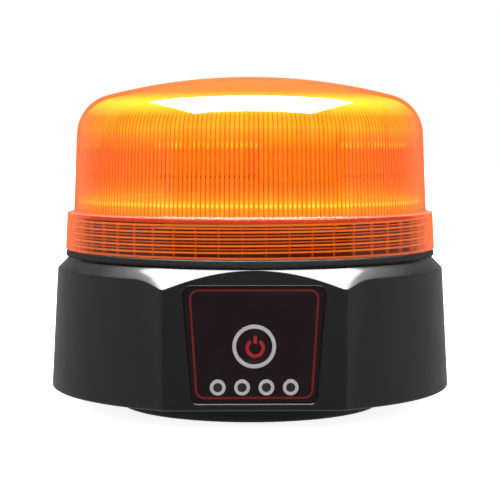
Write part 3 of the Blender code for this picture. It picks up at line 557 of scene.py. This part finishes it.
def dome(offset, cap_steps, arc_steps):
    """The lens's section from the pole to the foot of its shoulder arc."""
    top_z = box("lens")[1].z
    middle = LENS_TOP_R - ARC_R
    rise = top_z - ARC_Z
    cap_r = (middle ** 2 + rise ** 2 - ARC_R ** 2) / (2.0 * (rise - ARC_R))
    cap_z = top_z - cap_r
    lean = math.degrees(math.atan2(middle, ARC_Z - cap_z))
    cap = arc((0.0, cap_z), cap_r - offset, 90.0, 90.0 - lean, cap_steps)
    shoulder = arc((middle, ARC_Z), ARC_R - offset, 90.0 - lean, DRAFT, arc_steps)
    return cap[1:-1], shoulder, top_z - offset


def build_lens():
    skirt_z = box("lens")[0].z
    skirt_r = box("lens")[1].y
    cap, shoulder, top = dome(0.0, 14, 14)
    outside = cap + shoulder + [(LENS_R, SKIRT_TOP_Z + LEDGE_END)]
    outside += arc((LENS_R + LEDGE_FILLET, SKIRT_TOP_Z + LEDGE_FILLET), LEDGE_FILLET,
                   180.0, 270.0, 6)[1:]
    outside += arc((SKIRT_TOP_R - SKIRT_TOP_EDGE, SKIRT_TOP_Z - SKIRT_TOP_EDGE), SKIRT_TOP_EDGE,
                   90.0, 0.0, 4)
    outside += arc((skirt_r - SKIRT_LOW_EDGE, skirt_z + SKIRT_LOW_EDGE), SKIRT_LOW_EDGE,
                   0.0, -90.0, 4)
    rings = [ring(0.0, top, 1)] + [ring(r, z, OUTER_COLUMNS) for r, z in outside]
    slots = [0] * len(rings)

    cap_in, shoulder_in, top_in = dome(LENS_WALL, 10, 14)
    slope = (LENS_R - LENS_TOP_R) / (SKIRT_TOP_Z - ARC_Z)
    low_z = SKIRT_TOP_Z - LENS_WALL
    fluted = shoulder_in[3:] + [(LENS_TOP_R - LENS_WALL + (z - ARC_Z) * slope, z)
                                for z in np.linspace(ARC_Z - 3.0 * MM, low_z, 16)]
    count = FLUTES * FLUTE_COLUMNS
    phase = (np.arange(count) % FLUTE_COLUMNS) / FLUTE_COLUMNS
    scallop = np.abs(np.sin(math.pi * phase))

    def add(points, slot):
        rings.append(points)
        slots.append(slot)

    add(ring(SKIRT_IN_R, skirt_z, OUTER_COLUMNS), 3)
    add(ring(SKIRT_IN_R, skirt_z + 0.7 * MM, OUTER_COLUMNS), 3)
    add(ring(SKIRT_IN_R, low_z, OUTER_COLUMNS), 2)
    fade_z = ARC_Z + 7.0 * MM
    start_z = fluted[0][1]
    for r, z in fluted[::-1]:
        fade = min(1.0, max(0.0, (start_z - z) / (start_z - fade_z)))
        add(ring(r + FLUTE_DEPTH * fade * scallop, z, count), 1)
    for r, z in (cap_in + shoulder_in[:3])[::-1]:
        add(ring(r, z, OUTER_COLUMNS), 1)
    add(ring(0.0, top_in, 1), 1)
    # The skirt's bottom rim is painted pale, as a painted highlight line.
    looks = [amber_clear(), amber_flute(), amber_solid("amber_skirt", (0.85, 0.20, 0.05), 0.90),
             amber_solid("amber_rim_highlight", (1.0, 0.95, 0.70), 0.0)]
    shell = ring_mesh("lens_shell", rings, looks, slots[1:], closed=False)
    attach(shell, "lens")
    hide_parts("lens")

    # The lens thread is real, but it is painted pale so that its ridge reads as a highlight line.
    thread_highlight = amber_solid("amber_thread_highlight", (0.74, 0.95, 0.80), 0.0)
    thread = helix("lens_thread", SKIRT_IN_R + 0.1 * MM, SKIRT_IN_R - 1.5 * MM,
                   THREAD_FRONT_Z, 4.8, 0.36 * MM, 0.20 * MM, thread_highlight)
    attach(thread, "lens")
    # A low ridge between the thread's turns, painted pale, stands for the highlight on the collar
    # thread's crest.
    root_highlight = amber_solid("amber_thread_root_highlight", (0.80, 0.60, 0.35), 0.35)
    root = helix("lens_thread_root_highlight", SKIRT_IN_R + 0.1 * MM, SKIRT_IN_R - 0.25 * MM,
                 THREAD_FRONT_Z + THREAD_PITCH / 2.0, 3.9, 0.25 * MM, 0.12 * MM, root_highlight)
    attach(root, "lens")
    ribs = bmesh.new()
    for i in range(RIB_COUNT):
        size = (*RIB_SIZE, low_z - skirt_z - 1.0 * MM)
        turn = Matrix.Rotation(2.0 * math.pi * (i + 0.5) / RIB_COUNT, 4, "Z")
        spot = Matrix.Translation((0.0, -SKIRT_IN_R + 0.65 * MM, (low_z + skirt_z) / 2.0))
        cube(ribs, size, turn @ spot)
    made = from_bmesh("skirt_ribs", ribs, amber_solid("amber_ribs", (0.90, 0.75, 0.45), 0.25))
    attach(made, "lens")
    for piece in (shell, thread, root, made):
        piece.visible_glossy = False


def helix(name, base_r, crest_r, front_z, turns, half_base, half_crest, look):
    """A screw thread's ridge, right-handed, with its ends run out into the wall.

    It starts at the back, and front_z is where it first passes the front.
    """
    count = int(turns * HELIX_STEPS)
    turn = np.arange(count + 1) * 2.0 * math.pi / HELIX_STEPS - math.pi
    z = front_z + turn / (2.0 * math.pi) * THREAD_PITCH
    run_out = HELIX_STEPS / 12.0
    ends = np.minimum(np.arange(count + 1), np.arange(count + 1)[::-1]) / run_out
    share = np.clip(ends, 0.05, 1.0)
    crest = base_r + (crest_r - base_r) * share
    corners = [(np.full(count + 1, base_r), z - half_base), (crest, z - half_crest),
               (crest, z + half_crest), (np.full(count + 1, base_r), z + half_base)]
    sides = [np.stack([r * np.sin(turn), -r * np.cos(turn), height], 1) for r, height in corners]
    points = np.stack(sides, 1).reshape(-1, 3)
    faces = [[4 * i + a, 4 * i + b, 4 * i + 4 + b, 4 * i + 4 + a]
             for i in range(count) for a, b in ((0, 1), (1, 2), (2, 3), (3, 0))]
    faces += [[0, 1, 2, 3], [4 * count + k for k in (3, 2, 1, 0)]]
    mesh = bpy.data.meshes.new(name)
    mesh.from_pydata(points.tolist(), [], faces)
    return mesh_object(name, mesh, look)


# ---- plastics, metals and boards ----
def black_plastic():
    """Satin moulded black with a fine spark-eroded grain."""
    made = Nodes("black_plastic")
    broad = made.noise(18.0, 4.0)
    fine = made.noise(2600.0, 2.0)
    normal = made.bump(fine, 0.35, 0.00002)
    return made.principled(
        Base_Color=made.blend(broad, (0.005, 0.0046, 0.0052), (0.008, 0.0075, 0.0082)),
        Roughness=made.spread(made.noise(90.0), 0.3, 0.7, 0.38, 0.48),
        Specular_IOR_Level=0.2, Coat_Weight=0.38, Coat_Roughness=0.12, Normal=normal)


def black_rubber():
    made = Nodes("black_rubber")
    fine = made.noise(1500.0, 3.0)
    color = made.blend(made.noise(60.0, 5.0), (0.005, 0.0048, 0.005), (0.010, 0.0095, 0.010))
    return made.principled(
        Base_Color=color, Roughness=made.spread(made.noise(150.0), 0.3, 0.7, 0.45, 0.65),
        Specular_IOR_Level=0.3,
        Normal=made.bump(fine, 0.5, 0.00004))


def panel_film():
    """A printed overlay: a soft satin with a faint orange-peel."""
    made = Nodes("panel_film")
    color = made.blend(made.noise(35.0, 4.0), (0.0065, 0.0024, 0.0038), (0.009, 0.004, 0.0052))
    return made.principled(
        Base_Color=color, Roughness=made.spread(made.noise(120.0), 0.3, 0.7, 0.20, 0.28),
        Specular_IOR_Level=0.3,
        Normal=made.bump(made.noise(900.0, 2.0), 0.25, 0.00002))


def printed(name, color, shine=0.5):
    made = Nodes(name)
    dull = tuple(c * 0.75 for c in color)
    return made.principled(Base_Color=made.blend(made.noise(400.0, 4.0), dull, color),
                           Roughness=made.spread(made.noise(200.0), 0.3, 0.7, 0.35, 0.5),
                           Specular_IOR_Level=shine)


def metal(name, color, roughness, stretch=(1.0, 1.0, 1.0)):
    """Metal whose fine scratches run along the axes that stretch leaves small."""
    made = Nodes(name)
    at = made.add("ShaderNodeMapping", {"Vector": made.place(), "Scale": stretch})
    lines = made.noise(600.0, 3.0, 0.6, at.outputs[0])
    dull = tuple(c * 0.82 for c in color)
    return made.principled(
        Base_Color=made.blend(lines, dull, color), Metallic=1.0,
        Roughness=made.spread(lines, 0.3, 0.7, roughness * 0.8, roughness * 1.25),
        Normal=made.bump(lines, 0.2, 0.00003))


def silver_print():
    """The silver rings: a matt silver film."""
    made = Nodes("silver_trim")
    grain = made.noise(1200.0, 2.0)
    return made.principled(Base_Color=made.blend(grain, (0.25, 0.24, 0.245), (0.30, 0.29, 0.295)),
                           Metallic=0.2, Roughness=0.5, Normal=made.bump(grain, 0.2, 0.00002))


def circuit_board(name, mask, track):
    """Solder mask over a grid of tracks."""
    made = Nodes(name)
    bricks = made.add("ShaderNodeTexBrick", {"Vector": made.place(), "Scale": 160.0,
                                             "Mortar Size": 0.012, "Color1": (0.0, 0.0, 0.0),
                                             "Color2": (0.25, 0.25, 0.25),
                                             "Mortar": (1.0, 1.0, 1.0)})
    color = made.blend(bricks.outputs["Color"], mask, track)
    return made.principled(Base_Color=color, Roughness=made.spread(made.noise(300.0), 0.3, 0.7,
                                                                   0.3, 0.45),
                           Normal=made.bump(bricks.outputs["Fac"], 0.3, 0.00004))


def banded(name, first, second, scale, direction, roughness=0.45, metallic=0.0):
    """Even bands across a piece, such as the wires of a ribbon or the turns of a coil."""
    made = Nodes(name)
    wave = made.add("ShaderNodeTexWave", {"Vector": made.place(), "Scale": scale},
                    wave_type="BANDS", bands_direction=direction)
    return made.principled(Base_Color=made.blend(wave.outputs["Fac"], first, second),
                           Roughness=roughness, Metallic=metallic,
                           Normal=made.bump(wave.outputs["Fac"], 0.5, 0.0002))


def wrap_film():
    made = Nodes("cell_wrap")
    wrinkle = made.noise(140.0, 4.0)
    return made.principled(Base_Color=made.blend(wrinkle, (0.012, 0.06, 0.30), (0.03, 0.13, 0.50)),
                           Roughness=0.28, Normal=made.bump(wrinkle, 0.25, 0.0002))


def white_moulding():
    made = Nodes("white_reflector")
    tone = 0.85
    grain = made.noise(80.0, 4.0)
    return made.principled(Base_Color=made.blend(grain, (tone * 0.95, tone * 0.95, tone * 0.93),
                                                 (tone, tone, tone * 0.98)),
                           Roughness=made.spread(grain, 0.3, 0.7, 0.35, 0.5),
                           Normal=made.bump(made.noise(1200.0), 0.2, 0.00003))


def smoked_pipe():
    """The lamp windows: smoked clear plastic with a dark light guide behind."""
    made = Nodes("smoked_pipe")
    spot = made.noise(700.0, 3.0)
    color = made.blend(spot, (0.008, 0.006, 0.007), (0.022, 0.017, 0.019))
    return made.principled(Base_Color=color, Roughness=0.28, Normal=made.bump(spot, 0.08, 0.00002))


def make_looks():
    return {
        "black_plastic": black_plastic(), "black_rubber": black_rubber(),
        "zinc_steel": metal("zinc_steel", (0.60, 0.60, 0.62), 0.32),
        "ferrite": printed("ferrite", (0.065, 0.065, 0.07)),
        "panel_film": panel_film(), "silver_trim": silver_print(), "smoked_pipe": smoked_pipe(),
        "circuit_board": circuit_board("circuit_board", (0.008, 0.10, 0.035), (0.02, 0.22, 0.08)),
        "ribbon_cable": banded("ribbon_cable", (0.30, 0.30, 0.31), (0.62, 0.62, 0.62), 250.0, "X"),
        "copper_winding": banded("copper_winding", (0.35, 0.12, 0.04), (0.75, 0.33, 0.14), 300.0,
                                 "Z", 0.35, 0.9),
        "red_sleeve": printed("red_sleeve", (0.55, 0.03, 0.02)),
        "white_reflector": white_moulding(),
        "bare_aluminium": metal("bare_aluminium", (0.72, 0.72, 0.74), 0.38, (1.0, 1.0, 0.03)),
        "white_board": circuit_board("white_board", (0.80, 0.80, 0.78), (0.66, 0.67, 0.66)),
        "cell_wrap": wrap_film(),
        "brass": metal("brass", (0.72, 0.50, 0.20), 0.3),
        "amber_lens": None,
    }


# ---- housing, with the plan shape that it has in the frame ----
BASE_R = 80.7 * MM
BASE_TOP_R = 78.1 * MM
BASE_TOP_Z = 52.6 * MM
FLAT_Y = 74.2 * MM
FLARE = 76.3 * MM
SHOULDER_R = 73.8 * MM
SHOULDER_Z = 56.7 * MM
CORNER_BLEND = 1.2 * MM
FLARE_BLEND = 0.8 * MM
CORNER_ANGLE = 24.5
COLLAR_R = 70.3 * MM
COLLAR_TOP_Z = 71.5 * MM
COLLAR_EDGE = 0.5 * MM
COLLAR_BORE_R = 67.8 * MM
BASE_EDGE = 0.6 * MM
BASE_WALL = 2.8 * MM
TOP_WALL = 4.2 * MM
SHOULDER_EDGE = 0.3 * MM
DECK_R = 62.0 * MM  # the deck that closes the base's top, and its hole
DECK_Z = (52.0 * MM, 55.0 * MM)
SHELF_R = 66.0 * MM  # the shelf that the bottom cover is screwed to
SHELF_Z = (8.5 * MM, 13.5 * MM)


def blend_max(a, b, width):
    """The larger of two values, blended where they differ by less than width."""
    return max(a, b) + max(0.0, width - abs(a - b)) ** 2 / (4.0 * width)


def plan_radius(angle, height):
    """Radius of the outline at a plan angle in degrees from the front or the rear."""
    fold = min(abs(angle), 180.0 - abs(angle))
    share = (height - BASE_Z) / (BASE_TOP_Z - BASE_Z)
    round_r = BASE_R + (BASE_TOP_R - BASE_R) * share
    flat = FLAT_Y / max(0.05, math.cos(math.radians(fold)))
    flare = FLARE / math.cos(math.radians(45.0 - min(fold, 45.0)))
    side = blend_max(flare, round_r, FLARE_BLEND)
    return -blend_max(-flat, -side, CORNER_BLEND)


def plan_angles():
    """Plan angles of the housing's columns, closer together at the corners and the flares."""
    quarter = list(np.linspace(0.0, 22.0, 12)) + list(np.linspace(22.4, 27.6, 27))
    quarter += list(np.linspace(28.0, 38.0, 26)) + list(np.linspace(39.0, 90.0, 52))
    half = quarter + [180.0 - a for a in quarter[-2::-1]]
    return half + [-a for a in half[-2:0:-1]]


def shoulder_edge(angle):
    height = BASE_TOP_Z
    for _ in range(5):  # settles where the slope meets the side
        height = SHOULDER_Z + SHOULDER_R - plan_radius(angle, height)
    return plan_radius(angle, height), height


def shoulder_round(angle):
    fold = min(abs(angle), 180.0 - abs(angle))
    share = min(1.0, max(0.0, (fold - CORNER_ANGLE) / 12.0))
    return (0.4 + 1.1 * share) * MM


def housing_section(angle):
    """The housing's section at a plan angle, as (radius, height)."""
    edge_r, edge_z = shoulder_edge(angle)
    rounding = shoulder_round(angle)
    center = (edge_r - rounding, edge_z - rounding * math.tan(math.radians(22.5)))
    low_r = plan_radius(angle, BASE_Z + BASE_EDGE)
    section = arc((low_r - BASE_EDGE, BASE_Z + BASE_EDGE), BASE_EDGE, -90.0, 0.0, 4)
    section += [(plan_radius(angle, z), z) for z in np.linspace(8.0 * MM, 42.0 * MM, 8)]
    section += arc(center, rounding, 0.0, 45.0, 8)
    inner_low, inner_high = low_r - BASE_WALL, edge_r - TOP_WALL
    (shelf_low, shelf_high), (deck_low, deck_high) = SHELF_Z, DECK_Z
    section += [
        (SHOULDER_R + SHOULDER_EDGE, SHOULDER_Z - SHOULDER_EDGE),
        (SHOULDER_R - SHOULDER_EDGE, SHOULDER_Z), (COLLAR_R, SHOULDER_Z),
        (COLLAR_R, COLLAR_TOP_Z - COLLAR_EDGE), (COLLAR_R - COLLAR_EDGE, COLLAR_TOP_Z),
        (COLLAR_BORE_R, COLLAR_TOP_Z), (COLLAR_BORE_R, deck_high), (DECK_R, deck_high),
        (DECK_R, deck_low), (min(inner_high, 70.4 * MM), 48.0 * MM), (inner_low, shelf_high),
        (SHELF_R, shelf_high), (SHELF_R, shelf_low), (inner_low, shelf_low), (inner_low, BASE_Z),
    ]
    return section


PANEL_FLOOR_Y = 72.6 * MM  # in front of the axis, as is PANEL_Y
PANEL_Y = 73.7 * MM
RECESS_Z = (7.4 * MM, 50.6 * MM)
RECESS_HALF = (23.05 * MM, 26.5 * MM)
RECESS_CORNER = (2.7 * MM, 3.3 * MM)
LINE_Z = (9.6 * MM, 49.1 * MM)
LINE_HALF = (21.1 * MM, 23.6 * MM)
LINE_CORNER = (3.0 * MM, 3.0 * MM)
LINE_WIDTH = 0.80 * MM
PRINT_THICK = 0.04 * MM
BUTTON_Z = 28.5 * MM
TOOL_Y = 66.0 * MM  # how deep the tools for the front and the port reach
STEM_HOLE_R = 2.3 * MM
WELL_R = 6.8 * MM
WELL_FLOOR_Y = 70.9 * MM
PIPE_HOLE_R = 1.8 * MM
LAMP_COUNT = 4
LAMP_PITCH = 8.9 * MM
BAY_HALF = 12.5 * MM  # the flap's bay and its barrel, at the rear
BAY_Z = (18.4 * MM, 38.0 * MM)
BAY_Y = (72.2 * MM, 80.0 * MM)
BARREL_Z = (33.6 * MM, 37.8 * MM)
BARREL_Y = 71.0 * MM
PORT_HALF = 5.3 * MM
PORT_Z = (25.0 * MM, 30.0 * MM)
PORT_CORNER = 1.8 * MM
PORT_Y = 73.0 * MM


def rounded(corners, radii, steps=8):
    """Round each corner of a convex outline given anticlockwise."""
    outline = []
    count = len(corners)
    for i, (corner, radius) in enumerate(zip(corners, radii)):
        point = Vector(corner)
        before = (Vector(corners[i - 1]) - point).normalized()
        after = (Vector(corners[(i + 1) % count]) - point).normalized()
        half = before.angle(after) / 2.0
        center = point + (before + after).normalized() * radius / math.sin(half)
        start = point + before * radius / math.tan(half) - center
        turn = start.angle_signed(point + after * radius / math.tan(half) - center)
        first = math.atan2(start.y, start.x)
        for k in range(steps + 1):
            angle = first - turn * k / steps
            outline.append((center.x + radius * math.cos(angle),
                            center.y + radius * math.sin(angle)))
    return outline


def trapezoid(heights, halves, corners, grow=0.0):
    """A rounded outline in (x, z), from its low and high sides, grown outward by grow."""
    low, high = heights[0] - grow, heights[1] + grow
    low_half, high_half = (half + grow for half in halves)
    radii = [corner + grow for corner in corners for _ in range(2)]
    return rounded([(-low_half, low), (low_half, low), (high_half, high), (-high_half, high)],
                   radii)


def panel_outline(grow):
    return trapezoid(RECESS_Z, RECESS_HALF, RECESS_CORNER, grow)


def line_outline(grow):
    return trapezoid(LINE_Z, LINE_HALF, LINE_CORNER, grow)


def loft(name, layers):
    """Skin outlines of equal length, each ([(x, z) ...], y), into a closed mesh facing -Y."""
    bm = bmesh.new()
    made = [[bm.verts.new((x, y, z)) for x, z in outline] for outline, y in layers]
    bm.faces.new(made[0])
    bm.faces.new(made[-1][::-1])
    skin(bm, made)
    return from_bmesh(name, bm)


def strip_round(outline, section):
    """A closed strip along an outline: outline(grow) gives (x, z), section lists (grow, y)."""
    bm = bmesh.new()
    loops = [[bm.verts.new((x, y, z)) for x, z in outline(grow)] for grow, y in section]
    skin(bm, loops + loops[:1])
    return bm


def from_bmesh(name, bm, look=None, sharp=SHARP_ANGLE):
    bmesh.ops.recalc_face_normals(bm, faces=bm.faces)
    mesh = bpy.data.meshes.new(name)
    bm.to_mesh(mesh)
    bm.free()
    return mesh_object(name, mesh, [look] if look else [], sharp, flip_check=False)


def facing_front(name, profile, count, x, z, look=None):
    """Spin (radius, distance in front of the axis) points about a line along Y."""
    made = turned(name, profile, count, look or [])
    made.data.transform(Matrix.Translation((x, 0.0, z))
                        @ Matrix.Rotation(math.radians(90.0), 4, "X"))
    return made


def block(name, low, high):
    bm = bmesh.new()
    cube(bm, [b - a for a, b in zip(low, high)], [(a + b) / 2.0 for a, b in zip(low, high)])
    return from_bmesh(name, bm)


def apply_steps(made):
    """Replace an object's mesh with what its modifiers make of it."""
    graph = bpy.context.evaluated_depsgraph_get()
    mesh = bpy.data.meshes.new_from_object(made.evaluated_get(graph))
    old = made.data
    made.modifiers.clear()
    made.data = mesh
    bpy.data.meshes.remove(old)
    return made


def cut(made, tools):
    """Cut the tools out of made, for good, and remove them."""
    for tool in tools:
        step = made.modifiers.new(tool.name, "BOOLEAN")
        step.operation = "DIFFERENCE"
        step.solver = "EXACT"
        step.object = tool
    bpy.context.view_layer.update()
    apply_steps(made)
    for tool in tools:
        bpy.data.objects.remove(tool)
    made.data.shade_smooth()
    made.data.set_sharp_from_angle(angle=math.radians(CUT_SHARP_ANGLE))


def lamp_places():
    """The lamps' x, left to right, and their height."""
    low, high = box("light_pipe_1")
    return [(i - 1.5) * LAMP_PITCH for i in range(LAMP_COUNT)], (low.z + high.z) / 2.0


def build_housing(look):
    angles = plan_angles()
    sections = [housing_section(angle) for angle in angles]
    sine = np.sin(np.radians(angles))
    cosine = np.cos(np.radians(angles))
    rings = []
    for row in range(len(sections[0])):
        radius = np.array([section[row][0] for section in sections])
        height = np.array([section[row][1] for section in sections])
        rings.append(np.stack([radius * sine, -radius * cosine, height], 1))
    housing = ring_mesh("base_housing", rings, look)

    chamfer = 0.08 * MM
    recess = [(panel_outline(0.0), -PANEL_FLOOR_Y), (panel_outline(0.0), -FLAT_Y + chamfer),
              (panel_outline(chamfer), -FLAT_Y), (panel_outline(chamfer + MM), -FLAT_Y - MM)]
    tools = [loft("recess_tool", recess[::-1])]
    well = [(0.0, TOOL_Y), (STEM_HOLE_R, TOOL_Y), (STEM_HOLE_R, WELL_FLOOR_Y),
            (WELL_R, WELL_FLOOR_Y), (WELL_R, FLAT_Y), (0.0, FLAT_Y)]
    tools.append(facing_front("well_tool", well, 40, 0.0, BUTTON_Z))
    lamp_xs, lamp_z = lamp_places()
    hole = [(0.0, TOOL_Y), (PIPE_HOLE_R, TOOL_Y), (PIPE_HOLE_R, FLAT_Y), (0.0, FLAT_Y)]
    for i, x in enumerate(lamp_xs):
        tools.append(facing_front(f"hole_tool_{i}", hole, 20, x, lamp_z))
    bay = trapezoid(BAY_Z, (BAY_HALF, BAY_HALF), (1.0 * MM, 1.0 * MM))
    tools.append(loft("bay_tool", [(bay, y) for y in BAY_Y]))
    tools.append(block("barrel_tool", (-BAY_HALF, BARREL_Y, BARREL_Z[0]),
                       (BAY_HALF, BAY_Y[1], BARREL_Z[1])))
    port = trapezoid(PORT_Z, (PORT_HALF, PORT_HALF), (PORT_CORNER, PORT_CORNER))
    tools.append(loft("port_tool", [(port, TOOL_Y), (port, PORT_Y)]))
    cut(housing, tools)
    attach(housing, "base")
    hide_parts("housing")

    section = [(0.20, 0.1), (0.21, 0.0), (0.24, -0.05), (0.28, -0.07), (0.32, -0.05), (0.35, 0.0),
               (0.36, 0.1)]
    bead = strip_round(panel_outline, [(grow * MM, y * MM - FLAT_Y) for grow, y in section])
    bead = from_bmesh("recess_bead", bead, look)
    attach(bead, "base")

    thread = helix("collar_thread", COLLAR_R - 0.1 * MM, COLLAR_R + 0.9 * MM,
                   THREAD_FRONT_Z + THREAD_PITCH / 2.0, 2.9, 0.50 * MM, 0.25 * MM, look)
    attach(thread, "base")


# ---- trim on the base ----
# Profiles are (radius, distance in front of the axis), in mm.
RING_PROFILE = [(6.62, 72.9), (8.0, 72.9), (8.0, 73.8), (7.95, 73.85), (6.67, 73.85), (6.62, 73.8)]
BUTTON_PROFILE = [(0.0, 69.8), (1.8, 69.8), (1.8, 72.5), (6.3, 72.5), (6.3, 73.55), (6.27, 73.64),
                  (6.18, 73.7), (0.0, 73.7)]
LAMP_PROFILE = [(1.7, 72.9), (2.9, 72.9), (2.9, 73.8), (2.85, 73.85), (1.7, 73.85)]
PIPE_PROFILE = [(0.0, 69.3), (1.62, 69.3), (1.62, 73.78), (0.0, 73.78)]
SYMBOL_X = 0.35 * MM
SYMBOL_DROP = 0.56 * MM
SYMBOL_R = (2.3 * MM, 3.55 * MM)
SYMBOL_GAP = 33.0  # half the ring's gap, in degrees
BAR_SIZE = (1.2 * MM, PRINT_THICK, 2.86 * MM)
BAR_RISE = 2.53 * MM
GASKET_IN_R = 71.9 * MM
FOOT_R = 53.0 * MM
FOOT_TOP_Z = 4.45 * MM
FOOT_EDGE = 0.9 * MM
FOOT_SKIN = 1.35 * MM
SLEEVE_R = (50.3 * MM, 51.6 * MM)
SLEEVE_TOP_Z = 8.5 * MM
GRIP_COUNT = 4
GRIP_SIZE = (9.0 * MM, 0.25 * MM, 0.7 * MM)
GRIP_Y = 74.05 * MM
GRIP_Z = 21.6  # the first one, and their pitch, in mm
GRIP_PITCH = 1.5


def in_metres(profile):
    return [(r * MM, d * MM) for r, d in profile]


def refined(node, name, look, width, segments=2):
    """A copy of a CAD node with its sharp edges rounded, which replaces the node."""
    bm = bmesh.new()
    bm.from_mesh(frame["nodes"][node].data)
    bmesh.ops.translate(bm, vec=(0.0, 0.0, -DATUM_Z), verts=bm.verts)
    bmesh.ops.remove_doubles(bm, verts=bm.verts, dist=1e-6)
    bmesh.ops.dissolve_limit(bm, angle_limit=math.radians(1.0), verts=bm.verts, edges=bm.edges)
    sharp = [e for e in bm.edges if len(e.link_faces) == 2
             and e.calc_face_angle() > math.radians(40.0)]
    bmesh.ops.bevel(bm, geom=sharp, offset=width, segments=segments, profile=0.5,
                    affect="EDGES", clamp_overlap=True)
    made = from_bmesh(name, bm, look, REFINED_SHARP_ANGLE)
    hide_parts(node)
    return made


def build_panel(looks):
    red = printed("red_line", (0.095, 0.004, 0.005), 0.12)
    panel = refined("control_panel", "panel_plate", looks["panel_film"], 0.12 * MM)
    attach(panel, "base")

    half = LINE_WIDTH / 2.0
    section = [(-half, -PANEL_Y), (half, -PANEL_Y), (half, -PANEL_Y - PRINT_THICK),
               (-half, -PANEL_Y - PRINT_THICK)]
    border = from_bmesh("panel_line", strip_round(line_outline, section), red)
    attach(border, "base")

    power_ring = facing_front("button_ring", in_metres(RING_PROFILE), 96, 0.0, BUTTON_Z,
                              looks["silver_trim"])
    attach(power_ring, "base")
    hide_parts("power_ring")
    button = facing_front("button_disc", in_metres(BUTTON_PROFILE), 96, 0.0, BUTTON_Z,
                          looks["panel_film"])
    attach(button, "button")
    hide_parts("power_button")
    symbol = power_symbol(printed("red_symbol", (0.225, 0.006, 0.009), 0.12))
    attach(symbol, "button")

    lamp_xs, lamp_z = lamp_places()
    for i, x in enumerate(lamp_xs):
        ring_piece = facing_front(f"level_ring_{i + 1}", in_metres(LAMP_PROFILE), 48, x, lamp_z,
                                  looks["silver_trim"])
        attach(ring_piece, "base")
        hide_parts(f"lamp_ring_{i + 1}")
        pipe = facing_front(f"level_window_{i + 1}", in_metres(PIPE_PROFILE), 32, x, lamp_z,
                            looks["smoked_pipe"])
        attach(pipe, "base")
        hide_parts(f"light_pipe_{i + 1}")


def power_symbol(look):
    """The power symbol: an open ring and a bar, proud of the button by a print's thickness."""
    middle = BUTTON_Z - SYMBOL_DROP
    inner, outer = SYMBOL_R
    turns = np.radians(np.linspace(90.0 + SYMBOL_GAP, 450.0 - SYMBOL_GAP, 49))
    near, far = -PANEL_Y, -PANEL_Y - PRINT_THICK
    bm = bmesh.new()
    loops = []
    for radius, y in ((inner, near), (outer, near), (outer, far), (inner, far)):
        loops.append([bm.verts.new((SYMBOL_X + radius * math.cos(t), y,
                                    middle + radius * math.sin(t))) for t in turns])
    skin(bm, loops + loops[:1], whole=False)
    for end in (0, -1):
        bm.faces.new([loop[end] for loop in loops])
    cube(bm, BAR_SIZE, (SYMBOL_X, (near + far) / 2.0, BUTTON_Z + BAR_RISE))
    return from_bmesh("power_symbol", bm, look)


def build_rings(looks):
    low, high = box("lens_gasket")
    z0, z1, r = low.z, high.z, high.y - 0.3 * MM
    profile = [(GASKET_IN_R, z0), (SHOULDER_R - 0.6 * MM, z0)]
    profile += arc((r - 1.2 * MM, z0 + 1.3 * MM), 1.2 * MM, -70.0, 0.0, 8)
    profile += arc((r - 0.9 * MM, z1 - 0.7 * MM), 0.7 * MM, 0.0, 90.0, 5)
    profile.append((GASKET_IN_R, z1))
    gasket = turned("seal_band", profile, 240, looks["black_rubber"])
    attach(gasket, "seal_ring")
    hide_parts("lens_gasket")
    gasket.visible_glossy = False

    foot_low = -DATUM_Z
    skin_z = foot_low + FOOT_SKIN
    sleeve_in, sleeve_out = SLEEVE_R
    profile = [(0.0, foot_low), (FOOT_R - 8.0 * MM, foot_low)]
    profile += arc((FOOT_R - FOOT_EDGE, foot_low + FOOT_EDGE), FOOT_EDGE, -90.0, 0.0, 5)
    profile += arc((FOOT_R - 0.4 * MM, FOOT_TOP_Z - 0.4 * MM), 0.4 * MM, 0.0, 90.0, 3)
    profile += [(sleeve_out, FOOT_TOP_Z), (sleeve_out, SLEEVE_TOP_Z), (sleeve_in, SLEEVE_TOP_Z),
                (sleeve_in, skin_z), (0.0, skin_z)]
    foot = turned("foot_boot", profile, 240, looks["black_rubber"])
    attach(foot, "base")
    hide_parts("magnet_boot")


def build_flap(looks):
    flap = refined("port_cover", "port_flap", looks["black_rubber"], 0.25 * MM, 3)
    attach(flap, "port_flap")
    grips = bmesh.new()
    for i in range(GRIP_COUNT):
        cube(grips, GRIP_SIZE, (0.0, GRIP_Y, (GRIP_Z + GRIP_PITCH * i) * MM))
    made = from_bmesh("flap_grips", grips, looks["black_rubber"])
    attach(made, "port_flap")


# ---- light engine ----
EMITTER_SIZE = (3.4 * MM, 0.9 * MM, 3.4 * MM)
EMITTER_Y = 37.0 * MM  # from the axis
EMITTER_PITCH = (7.6, 8.0)  # across and up a board, in mm
EMITTER_LOW_Z = 93.0


def build_emitters():
    """Two rows of four emitters on each of the six boards."""
    phosphor = printed("phosphor", (0.95, 0.62, 0.08))
    across, up = EMITTER_PITCH
    for side in range(6):
        turn = Matrix.Rotation(math.radians(30.0 + 60.0 * side), 4, "Z")
        bm = bmesh.new()
        for row in range(2):
            for column in range(4):
                spot = Matrix.Translation(((column - 1.5) * across * MM, -EMITTER_Y,
                                           (EMITTER_LOW_Z + up * row) * MM))
                cube(bm, EMITTER_SIZE, turn @ spot)
        made = from_bmesh(f"led_emitters_{side + 1}", bm, phosphor)
        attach(made, "base")


def main():
    build_stage()
    build_lights()
    looks = make_looks()
    for entry in frame["record"]["subparts"]:
        node = frame["nodes"][entry["node"]]
        node.data.materials.clear()
        if looks[entry["material_slot"]]:
            node.data.materials.append(looks[entry["material_slot"]])
    build_lens()
    build_housing(looks["black_plastic"])
    build_panel(looks)
    build_rings(looks)
    build_flap(looks)
    build_emitters()


main()
